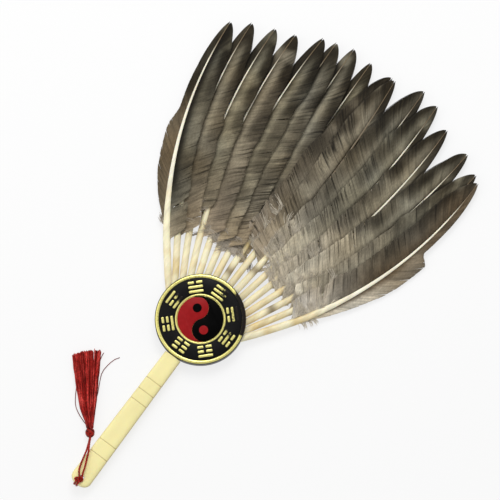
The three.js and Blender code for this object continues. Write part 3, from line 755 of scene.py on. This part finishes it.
def make_vane(feather):
    """All barbs of a feather as one piece in place of its vane solid."""
    parts = [barbs(feather, True), barbs(feather, False), down(feather)]
    frames = [lying(parts[0][0]), lying(parts[1][0]), directions(parts[2][0])]
    paths, half, tint = (np.concatenate(kind) for kind in zip(*parts))
    across, up = (np.concatenate(kind) for kind in zip(*frames))
    points, faces = many_tubes(paths * MM, across, up, half * MM, BARB_PROFILE)
    piece = new_piece(f"barbs_{feather.name}", points, faces, "feather_vane", [f"vane_{feather.name}"])
    give_tint(piece, np.repeat(tint[:, :, None], len(BARB_PROFILE), 2))


def covered(feather, s):
    """How far a neighbour's vane lies over the rachis at distances s, from 0 to 1."""
    cover = np.zeros_like(s)
    for other in feather.above():
        way, place = other.nearest(feather.axis(s)[0])
        cover = np.maximum(cover, ease(other.outline(place, True) - way, -0.5, 1.5))
    return cover


def make_quill(feather):
    """The quill and rachis as one tapering tube, cream or tan with dark pith in places, paler along the vane and
    browner to the tip, with painted shade along its two sides and on the rachis where a neighbour's vane lies over
    it. Along the vane it is flatter and thinner than its barrel."""
    reach = feather.reach
    barrel = np.linspace(QUILL_START, VANE_START, 40)
    s = np.concatenate([barrel, np.linspace(VANE_START + 2, reach - TIP_GAP, 110)])[:, None]
    point, across = feather.axis(s)
    vane = ease(s, VANE_START + 10, VANE_START + 70)
    thin, stout, slim = (0.15, 0.3, 250) if feather.outer is None else (0.3, 0.2, VANE_START + 70)
    half_width = feather.radius(s) * (1 - thin * vane) * (1 + stout * ease(s, slim, VANE_START + 10))
    half_height = feather.radius(s) * (1 - 0.5 * vane)
    angle, ring = circle(QUILL_SIDES)
    wide = (half_width * ring[:, 0])[..., None] * across * -feather.side
    high = (half_height * ring[:, 1])[..., None] * np.array([0, 0, 1])
    faces = grid_faces(len(s), QUILL_SIDES)
    name = f"quill_{feather.name}"
    piece = new_piece(f"{name}_horn", (point + wide + high) * MM, faces, "quill_horn", [name])
    random = np.random.default_rng(feather.seed + 31)
    tint = mixed(CREAM, TAN, random.uniform(*feather.pick((0, 0.2), (0.1, 0.5))))
    # Random tan patches, and painted shade: tan towards the tube's two sides.
    tint = mixed(tint, TAN, 0.35 * soft_noise(s / 9, feather.seed) + 0.25 * np.cos(angle) ** 2)
    if feather.name in PITH:
        tint = mixed(tint, PITH_DARK, 0.75 * bell(s, PITH[feather.name], 4.5))
    tint = mixed(tint, RACHIS, 0.8 * vane)
    tint = mixed(tint, HORN_TIP, ease(s, reach - 48, reach - 15))
    # right_2's rachis is brown along its whole vane; on the others this is painted shade where a neighbour's vane
    # lies over the rachis.
    dark_and_shade = 1.0 if feather.name == "right_2" else covered(feather, s)
    give_tint(piece, mixed(tint, HORN_TIP, 0.9 * dark_and_shade * vane))


for each in LEFT_WING + RIGHT_WING:
    make_vane(each)
    make_quill(each)

# Hub and medallion

HUB_RADIUS = 41
HUB_TOP = 13
SPLIT_GAP = 0.03
SEAT = 12.2
PLATE_RADIUS = 40
RING_OUTSIDE = 40.35
OUTER_RING_INSIDE = 37.6
INNER_RING_OUTSIDE = 22.8
INNER_RING_INSIDE = 21.15
RING_TOP = 14.02
FIELD_TOP = 13.6
LEAST_WEAR = 0.2
TRIGRAMS = ["111", "011", "010", "001", "000", "100", "101", "110"]
BAR_RADII = [25.3, 29.4, 33.5]
BAR_LENGTH = 13.3
BAR_WIDTH = 2.3
BAR_BREAK = 1.9
BAR_CORNER = 0.85
BAR_INSETS = np.array([0, 0, 0.12, 0.35, 0.7, 1.0])[:, None]
BAR_HEIGHTS = np.array([12.6, 13.68, 13.88, 13.97, 14.02, 14.03])[:, None]
TAIJI_RADIUS = 20.8
TAIJI_TURN = math.radians(52.6)
DOT_RADIUS = 4.1
DOT_TOP = 13.88


def make_hub():
    """Two turned shells with softened edges, and the thin black lip that holds the medallion."""
    r, low, high = HUB_RADIUS, HUB_MIDDLE - SPLIT_GAP, HUB_MIDDLE + SPLIT_GAP
    back = [(0, 0), (30, 0), (r - 1.6, 0), (r - 0.9, 0.12), (r - 0.3, 0.5), (r, 1.2), (r, 1.6), (r, low - 0.37),
            (r - 0.1, low - 0.09), (r - 0.3, low), (38, low), (0, low)]
    front = [(0, high), (38, high), (r - 0.3, high), (r - 0.1, high + 0.09), (r, high + 0.37), (r, 12.3),
             (r - 0.08, 12.75), (r - 0.3, 12.95), (r - 0.6, HUB_TOP), (r - 0.75, 12.9), (r - 0.75, 12.4),
             (r - 0.8, SEAT), (0, SEAT)]
    for name, profile in (("back", back), ("front", front)):
        new_piece(f"hub_{name}_turned", *turned(profile), "black_plastic", [f"hub_{name}_shell"])


def gilt_piece(name, points, faces, wear, replaces=()):
    """A gilt piece that carries, for each point, how far its gold gives way to the dark ground."""
    piece = new_piece(name, points, faces, "gilt", replaces)
    layer = piece.data.attributes.new("wear", "FLOAT", "POINT")
    layer.data.foreach_set("value", wear.astype(np.float32).ravel())


def make_rings():
    """The two raised gilt rings with softly domed tops, whose gold gives way to the dark ground on their right
    side.
    """
    rise = [(0, 13.02), (0, 13.5), (0.15, 13.75), (0.45, 13.92)]
    for name, inner, outer, bare_right, thin in (("outer", OUTER_RING_INSIDE, RING_OUTSIDE, 0.85, 0.2),
                                             ("inner", INNER_RING_INSIDE, INNER_RING_OUTSIDE, 0.34, 0.34)):
        outside, inside = [(outer - x, z) for x, z in rise], [(inner + x, z) for x, z in rise[::-1]]
        section = [*outside, ((inner + outer) / 2, RING_TOP), *inside]
        points, faces = turned(section, RING_SEGMENTS, True)
        clockwise = np.degrees(np.arctan2(points[..., 0], points[..., 1]))
        gone = ease(clockwise, 6, 26) * ease(clockwise, 80, 72)
        fading = ease(clockwise, -30, -5) * ease(clockwise, 92, 80)
        gilt_piece(f"medallion_{name}_ring", points, faces, 0.22 + np.maximum(bare_right * gone, thin * fading))


def bar_outlines(half_length, half_width, count=40):
    """Outlines of a bar with rounded corners, one for each inset from its edge: x and y of inset by point."""
    angle = (np.arange(count) + 0.5) / count * 2 * np.pi
    corner = np.maximum(BAR_CORNER - BAR_INSETS, 0.12)
    x = (half_length - BAR_INSETS - corner) * np.sign(np.cos(angle)) + corner * np.cos(angle)
    y = (half_width - BAR_INSETS - corner) * np.sign(np.sin(angle)) + corner * np.sin(angle)
    return x, y


def bar_wear(k, j, x):
    """How far the gold is rubbed off a bar: k counts trigrams clockwise, j lines outwards, x runs clockwise."""
    part = x / (BAR_LENGTH / 2)
    if k == 0:
        return 0.26 + 0.4 * ease(part, -0.5, 0.7) + 0.1 * j
    if k == 1:
        return np.full_like(x, (0.25, 0.6, 0.98)[j])
    if k == 2:
        return 0.28 + 0.5 * ease(-part, 0.1, 1) * (j < 2)
    if k == 6 and j < 2:
        return 0.25 + 0.75 * ease(part, 0.35 * j, 0.7)
    return np.full_like(x, LEAST_WEAR)


def make_bars():
    """The 36 gilt bars: eight trigrams of three lines, each whole or broken in two."""
    half = (BAR_LENGTH - BAR_BREAK) / 4
    shift = half + BAR_BREAK / 2
    kinds = {"1": [(0, BAR_LENGTH / 2)], "0": [(-shift, half), (shift, half)]}
    bars, wear = [], []
    for k, lines in enumerate(TRIGRAMS):
        for j, line in enumerate(lines):
            for middle, half_length in kinds[line]:
                x, y = bar_outlines(half_length, BAR_WIDTH / 2)
                bar = np.stack([x + middle, y + BAR_RADII[j], BAR_HEIGHTS + 0 * x], -1)
                bars.append(spun(bar, -k * math.pi / 4))
                wear.append(bar_wear(k, j, x + middle))
    faces = grid_faces(*bars[0].shape[:2], len(bars))
    gilt_piece("medallion_bars", np.stack(bars) * MM, faces, np.stack(wear), ["badge_relief"])


def make_medallion():
    """The gilt plate, its rings and bars, and the black field that fills the room between the rings."""
    r = PLATE_RADIUS
    plate = [(0, SEAT + 0.03), (r - 0.2, SEAT + 0.03), (r, 12.4), (r, 12.9), (r - 0.2, HUB_TOP), (0, HUB_TOP)]
    points, faces = turned(plate)
    gilt_piece("medallion_plate", points, faces, np.full(points.shape[:2], LEAST_WEAR))
    make_rings()
    make_bars()
    outside, inside = OUTER_RING_INSIDE - 0.1, INNER_RING_OUTSIDE + 0.1
    field = [(outside, HUB_TOP), (outside, FIELD_TOP - 0.1), (outside - 0.15, FIELD_TOP), (30, FIELD_TOP),
             (inside + 0.2, FIELD_TOP), (inside, FIELD_TOP - 0.1), (inside, HUB_TOP)]
    new_piece("medallion_field", *turned(field, RING_SEGMENTS, True), "black_enamel", ["badge_black_field"])


def arc(y, radius, start, end, count):
    """Points of an arc about a middle on the Y axis, from a start to just before an end in degrees."""
    angle = np.radians(np.linspace(start, end, count, endpoint=False))
    return np.stack([radius * np.cos(angle), y + radius * np.sin(angle)], -1)


def make_taiji():
    """Two lacquered halves with a fine bevel, each with the dot of the other colour set in its head. A half runs
    anticlockwise: the left half circle, the other head's hollow, and its own head."""
    head = TAIJI_RADIUS / 2
    line = np.concatenate([arc(0, TAIJI_RADIUS, 90, 270, 90), arc(-head, head, 270, 90, 60),
                           arc(head, head, -90, 90, 60)])
    along = np.roll(line, -1, 0) - np.roll(line, 1, 0)
    outward = unit(np.stack([along[:, 1], -along[:, 0]], -1))
    rows = [(0.06, HUB_TOP), (0.06, 13.62), (0.12, 13.76), (0.24, 13.8)]
    half = np.stack([np.column_stack([line - inset * outward, np.full(len(line), z)]) for inset, z in rows]) * MM
    half_faces = grid_faces(len(rows), len(line))
    dot, dot_faces = turned([(0, HUB_TOP), (DOT_RADIUS, HUB_TOP), (DOT_RADIUS, DOT_TOP - 0.1),
                             (DOT_RADIUS - 0.15, DOT_TOP - 0.02), (DOT_RADIUS - 0.5, DOT_TOP), (0, DOT_TOP)], 64)
    dot[..., 1] += head * MM
    for name, other, turn in (("red", "black", TAIJI_TURN), ("black", "red", TAIJI_TURN + math.pi)):
        for node, points, faces, colour in ((f"taiji_{name}", half, half_faces, name),
                                            (f"taiji_{other}_dot", dot, dot_faces, other)):
            new_piece(f"{node}_inlay", spun(points, turn), faces, f"{colour}_lacquer", [node])


make_hub()
make_medallion()
make_taiji()

# Handle

HANDLE_START = 41.3
HANDLE_END = 184.6
HANDLE_ROUND = 8
HANDLE_ROWS = 700
HANDLE_SIDES = 72
SQUARENESS = 2 / 3.6
RING_LINES = [70, 82, 93, 139, 152.5]
LINE_WIDTH = 0.42
LINE_DEPTH = 0.38
HOLE_PLACE = Vector((0, -177.7, HUB_MIDDLE)) * MM
HOLE_RADIUS = 2.25 * MM
BONE, BONE_SHADE = linear(252, 240, 174), linear(180, 160, 100)


def make_handle():
    """A flat bar with softly rounded sides that widens to its rounded end, with engraved lines cut all round.
    The section is a superellipse; each line is a smooth dip of its size. A round tool cuts the hole. Its tint has
    painted shade in the lines and along both sides, most on the right."""
    y = np.linspace(HANDLE_START, HANDLE_END, HANDLE_ROWS)[:, None]
    share = (y - HANDLE_START) / (HANDLE_END - HANDLE_START)
    rounded = np.clip((y - HANDLE_END + HANDLE_ROUND) / HANDLE_ROUND, 0, 1)
    dips = sum(bell(y, line, LINE_WIDTH) for line in RING_LINES)
    half_width = ((16.6 + 3.2 * share) / 2 - LINE_DEPTH * dips) * np.sqrt(1 - 0.9 * rounded**2.4)
    half_height = (5 - LINE_DEPTH * dips) * np.sqrt(1 - 0.55 * rounded**4)
    ring = circle(HANDLE_SIDES)[1]
    wide, high = (np.sign(ring) * np.abs(ring) ** SQUARENESS).T
    points = np.stack([half_width * wide, -y + 0 * wide, HUB_MIDDLE + half_height * high], -1)
    piece = new_piece("handle_bar", points * MM, grid_faces(HANDLE_ROWS, HANDLE_SIDES), "cream_bone", ["handle"])
    # Painted shade in the engraved lines and along the sides, stronger on the right side.
    side_shade = np.where(wide > 0, 0.6, 0.3) * ease(np.abs(wide), 0.9, 0.985)
    give_tint(piece, mixed(BONE, BONE_SHADE, 0.7 * dips + side_shade))
    cut_hole(piece)


def cut_hole(piece):
    """Take the cord's hole out of the handle, and keep the result as the piece's own mesh."""
    bpy.ops.mesh.primitive_cylinder_add(vertices=48, radius=HOLE_RADIUS, depth=0.03, location=HOLE_PLACE)
    tool = bpy.context.object
    change = piece.modifiers.new("hole", "BOOLEAN")
    change.object = tool
    change.solver = "EXACT"
    made = piece.evaluated_get(bpy.context.evaluated_depsgraph_get())
    mesh = bpy.data.meshes.new_from_object(made)
    piece.modifiers.clear()
    piece.data = mesh
    bpy.data.objects.remove(tool)


make_handle()

# Tassel: hitch, two strands, knot and skirt

CORD_RADIUS = 0.9
CORD_PITCH = 2.6
CORD_SIDES = 24
HITCH_LOOP = [(-177.7, 7), (-177.7, 12.3), (-178.45, 13.05), (-181.7, 13.05), (-184.9, 12.3), (-185.65, 7),
              (-184.9, 1.7), (-181.7, 0.95), (-178.45, 0.95), (-177.7, 1.7)]
STRAND_ROUTES = {
    "left": [(-0.9, -178.5, 14.9), (-4.2, -175.6, 14.7), (-6.5, -171.6, 14.4), (-8.4, -165.8, 13.8),
             (-9.8, -160.4, 12.9), (-11.1, -155.6, 11.7), (-12.9, -151.2, 9.4), (-14.5, -147.6, 6.7),
             (-16.2, -144.4, 4.9), (-18, -142.3, 4.6)],
    "right": [(0.9, -178.3, 14.9), (-1.4, -173.4, 14.9), (-3, -168.6, 14.9), (-6, -161.8, 14.1),
              (-8.8, -155.6, 13.5), (-11.7, -150.8, 11.4), (-13.9, -147.2, 8.7), (-15.6, -144, 6.6),
              (-17.5, -142, 5.4)],
}
KNOT_CENTRE = np.array([-19, -140.2, 4.5])
KNOT_RADIUS = 4.1
SKIRT_ALONG = np.array([-0.6211, 0.7837, 0])
SKIRT_ACROSS = np.array([0.7837, 0.6211, 0])
UP = np.array([0, 0, 1.0])
SKIRT_START = 3.8
SKIRT_LENGTH = 70
SKIRT_PLACES = [0, 0.034, 0.136, 0.27, 0.51, 0.78, 1, 1.2]
SKIRT_WIDTHS = [5.6, 6, 9.8, 14.8, 19.4, 23.6, 26.2, 27.2]
SKIRT_THICKNESSES = [5.4, 6, 7, 7.2, 7.2, 6.2, 4.8, 4.4]
THREADS = 430
THREAD_ROWS = 12
THREAD_RADIUS = 0.33
THREAD_FLOOR = 0.45
STRAY_RADIUS = 0.38
# Threads that leave the skirt, by their distances along it, across it and above the table
STRAYS = [
    [(26, 4.8, 1.5), (35.5, 7.9, 1.2), (46.8, 10.1, 1), (54.7, 12.6, 0.8), (61.4, 18.5, 0.7), (65.5, 24, 0.6),
     (67, 28.4, 0.5)],
    [(58, 9.6, 1.2), (63.7, 10.4, 1), (68.5, 12.2, 0.8), (71.8, 14.2, 0.8)],
    [(5.5, -2.2, 2.4), (10, -5.2, 2), (16, -9, 1.4), (24, -12.2, 1), (32, -12.4, 0.8), (40, -11.4, 1.2),
     (46, -10.6, 2)],
    [(58, -11, 2.2), (64, -11.6, 2), (68.4, -10.2, 1.6)],
    [(58, -4.5, 2.6), (64, -4.9, 2.4), (68.6, -4.2, 2)],
]
RED, GROOVE_SHADE_RED = linear(148, 20, 16), linear(98, 8, 8)
HIGHLIGHT_PINK, CORD_RED = linear(214, 104, 96), linear(172, 40, 30)


def curve_through(points, count, closed=False):
    """A smooth line through points, cut into steps of equal length."""
    points = np.asarray(points, float)
    if closed:
        padded = np.concatenate([points[-1:], points, points[:2]])
    else:
        padded = np.concatenate([2 * points[:1] - points[1:2], points, 2 * points[-1:] - points[-2:-1]])
    t = np.linspace(0, 1, 40, endpoint=False)[:, None]
    parts = []
    for a, b, c, d in zip(padded, padded[1:], padded[2:], padded[3:]):
        square, cube = 2 * a - 5 * b + 4 * c - d, 3 * b - a - 3 * c + d
        parts.append(0.5 * (2 * b + (c - a) * t + square * t**2 + cube * t**3))
    line = np.concatenate([*parts, points[:1] if closed else points[-1:]])
    length = run_length(line)
    wanted = np.linspace(0, length[-1], count, endpoint=not closed)
    return np.stack([np.interp(wanted, length, axis) for axis in line.T], -1)


def run_length(path):
    """The length of a path up to each of its points."""
    return np.concatenate([[0], np.cumsum(np.linalg.norm(np.diff(path, axis=0), axis=1))])


def twisted(path, across, up):
    """A laid cord along a path: a round section with three lobes that turn once in three pitches."""
    angle, ring = circle(CORD_SIDES)
    lobe = np.abs(np.cos(1.5 * (angle - 2 * np.pi * run_length(path)[:, None] / (3 * CORD_PITCH))))
    section = ring[:, :1] * across[:, None] + ring[:, 1:] * up[:, None]
    return path[:, None] + (CORD_RADIUS * (0.8 + 0.2 * lobe))[..., None] * section, lobe


def silk_tint(lobe):
    """Thread colour, with painted shade in the grooves between the lobes."""
    return mixed(0.4 * GROOVE_SHADE_RED, CORD_RED, lobe)


def cord_turn(route, level):
    """A closed turn of cord: a level one lies flat, another stands with its width along X."""
    path = curve_through(route, 150, closed=True)
    tangent = unit(np.roll(path, -1, 0) - np.roll(path, 1, 0))
    across = np.cross(UP, tangent) if level else np.broadcast_to(np.array([1.0, 0, 0]), path.shape)
    return twisted(path, across, np.cross(tangent, across))


def make_hitch():
    """The doubled loop of cord through the handle's hole and round its end, with a flat turn round its top."""
    turns = []
    for shift, slant in ((-0.85, -1.6), (0.85, -0.9)):
        turns.append(cord_turn([(shift + slant * (-177.7 - y) / 8, y, z) for y, z in HITCH_LOOP], False))
    x, y = circle(8)[1].T
    turns.append(cord_turn(np.stack([-1.1 + 3.2 * x, -180.4 + 1.5 * y + 0.9 * x, 13.05 + 0 * x], -1), True))
    points, lobes = (np.stack(kind) for kind in zip(*turns))
    faces = grid_faces(*lobes.shape[1:], len(turns), closed=True)
    piece = new_piece("cord_loop", points * MM, faces, "red_silk", ["cord_hitch"])
    give_tint(piece, silk_tint(lobes))


def make_strand(way, with_pieces):
    """One free strand from the hitch to the knot."""
    path = curve_through(STRAND_ROUTES[way], 120)
    points, lobe = twisted(path, *directions(path))
    faces = grid_faces(*lobe.shape)
    piece = new_piece(f"strand_{way}", points * MM, faces, "red_silk", [f"cord_strand_{way}"], "cord")
    give_tint(piece, silk_tint(lobe))


def on_tassel(along, across, height):
    """A point of the tassel from its distances along, across and above the middle of the knot."""
    level = along[..., None] * SKIRT_ALONG + across[..., None] * SKIRT_ACROSS
    return KNOT_CENTRE + level + height[..., None] * UP


def make_knot():
    """The bound ball: an egg along the tassel's line, with crossing wraps raised on it."""
    rows, sides = 64, 96
    polar = np.linspace(np.pi - 0.03, 0.03, rows)[:, None]
    angle, ring = circle(sides)
    wraps = np.abs(np.sin(2 * angle + 3.4 * polar)) ** 0.7 * np.sin(polar)
    crossing = np.abs(np.sin(2.5 * angle - 4.2 * polar + 1)) ** 0.7 * np.sin(polar) * ease(polar, 1.0, 2.0)
    lobe = np.maximum(0.8 * wraps, crossing)
    size = KNOT_RADIUS * (0.86 + 0.16 * lobe)
    round_size = size * np.sin(polar)
    points = on_tassel(1.3 * size * np.cos(polar), 1.05 * round_size * ring[:, 0], 0.96 * round_size * ring[:, 1])
    faces = grid_faces(rows, sides)
    piece = new_piece("knot_ball", points * MM, faces, "red_silk", ["tassel_knot"], "tassel_knot")
    # Painted shade in the grooves between the wraps.
    give_tint(piece, silk_tint(np.clip(1.5 * lobe - 0.45, 0, 1)))
    return piece


def threads():
    """Threads from the neck to the cut ends, as paths, radii and shades. A thread keeps its place across the
    bundle while the bundle widens and flattens; it crinkles, hangs with its lock, and ends early or late. Its
    shade is a random tone, painted highlight and shade along its crinkles, and darker near the neck."""
    random = np.random.default_rng(77)
    turn = random.uniform(0, 2 * np.pi, (THREADS, 1))
    reach = np.sqrt(random.uniform(0.02, 1, (THREADS, 1)))
    a, b = reach * np.cos(turn), reach * np.sin(turn)
    end = 0.985 - 0.045 * np.clip(-a, 0, 1) + 0.012 * random.normal(size=(THREADS, 1))
    part = np.linspace(0, 1, THREAD_ROWS) * end
    width, thickness = (np.interp(part, SKIRT_PLACES, sizes) for sizes in (SKIRT_WIDTHS, SKIRT_THICKNESSES))
    gap = np.where(a > 0.52, 0.65, np.where(a > 0.3, -0.45, 0)) * ease(part, 0.6, 1)
    sway = 0.22 * np.sin(np.round(a * 5) * 2.3 + 5 * part) * part
    waves = np.stack([soft_noise(part * 40 + 7 * i, 400 + i) for i in range(8)])
    crinkle = waves[random.integers(0, 8, THREADS), np.arange(THREADS)]
    lean = -1.4 * ease(part, 0.04, 0.3)
    across = a * width / 2 + lean + gap + sway + 0.16 * crinkle
    sink = (KNOT_CENTRE[2] - 4.1) * part
    height = b * thickness / 2 + 0.1 * np.roll(crinkle, 3, 0) - sink
    paths = on_tassel(SKIRT_START + SKIRT_LENGTH * part, across, height)
    paths[..., 2] = np.maximum(paths[..., 2], THREAD_FLOOR)
    # A random tone for each thread, and painted highlight and shade along its crinkles; darker near the neck.
    shade = np.exp(0.36 * random.normal(size=(THREADS, 1)) + 0.48 * crinkle)
    return paths, np.full(part.shape, THREAD_RADIUS), shade * (0.75 + 0.25 * ease(part, 0.02, 0.14))


def make_skirt():
    """The threads of the skirt and its strays as one piece."""
    parts = [threads()]
    for route in STRAYS:
        along, across, height = curve_through(route, THREAD_ROWS).T[:, None]
        stray = on_tassel(along, across, height - KNOT_CENTRE[2])
        parts.append((stray, np.full_like(along, STRAY_RADIUS), np.full_like(along, 0.55)))
    paths, half, shade = (np.concatenate(kind) for kind in zip(*parts))
    section = circle(4)[1]
    points, faces = many_tubes(paths * MM, *directions(paths), half * MM, section)
    piece = new_piece("skirt_threads", points, faces, "red_silk", ["tassel_skirt"], "tassel_skirt")
    # Where the shade runs bright the red turns pale pink: a painted highlight.
    tint = mixed(RED * shade[..., None], HIGHLIGHT_PINK, 0.5 * ease(shade, 1.0, 2.2))
    give_tint(piece, np.repeat(tint[:, :, None], len(section), 2))


make_hitch()
make_skirt()
make_strand("left", [])
make_strand("right", [make_knot()])

# Floor, light and view transform

FLOOR_SIZE = 6
FLOOR_LEVEL = -0.0003
FLOOR_GLOW = 0.75
WORLD_LIGHT = 0.5
LIGHT_TARGET = Vector((0, 0.08, 0))
LAMPS = (("key", Vector((-0.5, 0.9, 1.3)), 0.8, 13), ("fill", Vector((-0.9, -0.5, 1.1)), 1.2, 4.5))


def make_floor():
    """A pale floor that is white to the camera but takes the object's shadow."""
    bpy.ops.mesh.primitive_plane_add(size=FLOOR_SIZE, location=(0, 0, FLOOR_LEVEL))
    floor = bpy.context.object
    floor.name = "floor"
    made, n = new_material("floor_pale", 0.9, Specular_IOR_Level=0.1, Base_Color=(0.9, 0.9, 0.9, 1))
    path = n.add("ShaderNodeLightPath").outputs
    seen = n.math("ADD", path["Is Camera Ray"], n.math("ADD", path["Is Glossy Ray"], path["Is Transmission Ray"]))
    share = n.math("MULTIPLY", n.math("MINIMUM", seen, 1.0), FLOOR_GLOW)
    glow = n.add("ShaderNodeEmission", {"Color": (1, 1, 1, 1), "Strength": 1.0}).outputs[0]
    mix = n.add("ShaderNodeMixShader", {0: share, 1: n.shader.outputs[0], 2: glow})
    n.put(n.tree.nodes["Material Output"].inputs["Surface"], mix.outputs[0])
    floor.data.materials.append(made)


def make_light():
    """An even white world, and two soft lamps above the fan."""
    world = bpy.data.worlds.new("soft_white")
    world.use_nodes = True
    background = world.node_tree.nodes["Background"].inputs
    background["Color"].default_value = (1, 1, 1, 1)
    background["Strength"].default_value = WORLD_LIGHT
    bpy.context.scene.world = world
    for name, place, size, power in LAMPS:
        data = bpy.data.lights.new(name, "AREA")
        data.size = size
        data.energy = power
        light = bpy.data.objects.new(name, data)
        light.location = place
        light.rotation_euler = (LIGHT_TARGET - place).to_track_quat("-Z", "Y").to_euler()
        bpy.context.collection.objects.link(light)


make_floor()
make_light()
bpy.context.scene.view_settings.view_transform = "Standard"
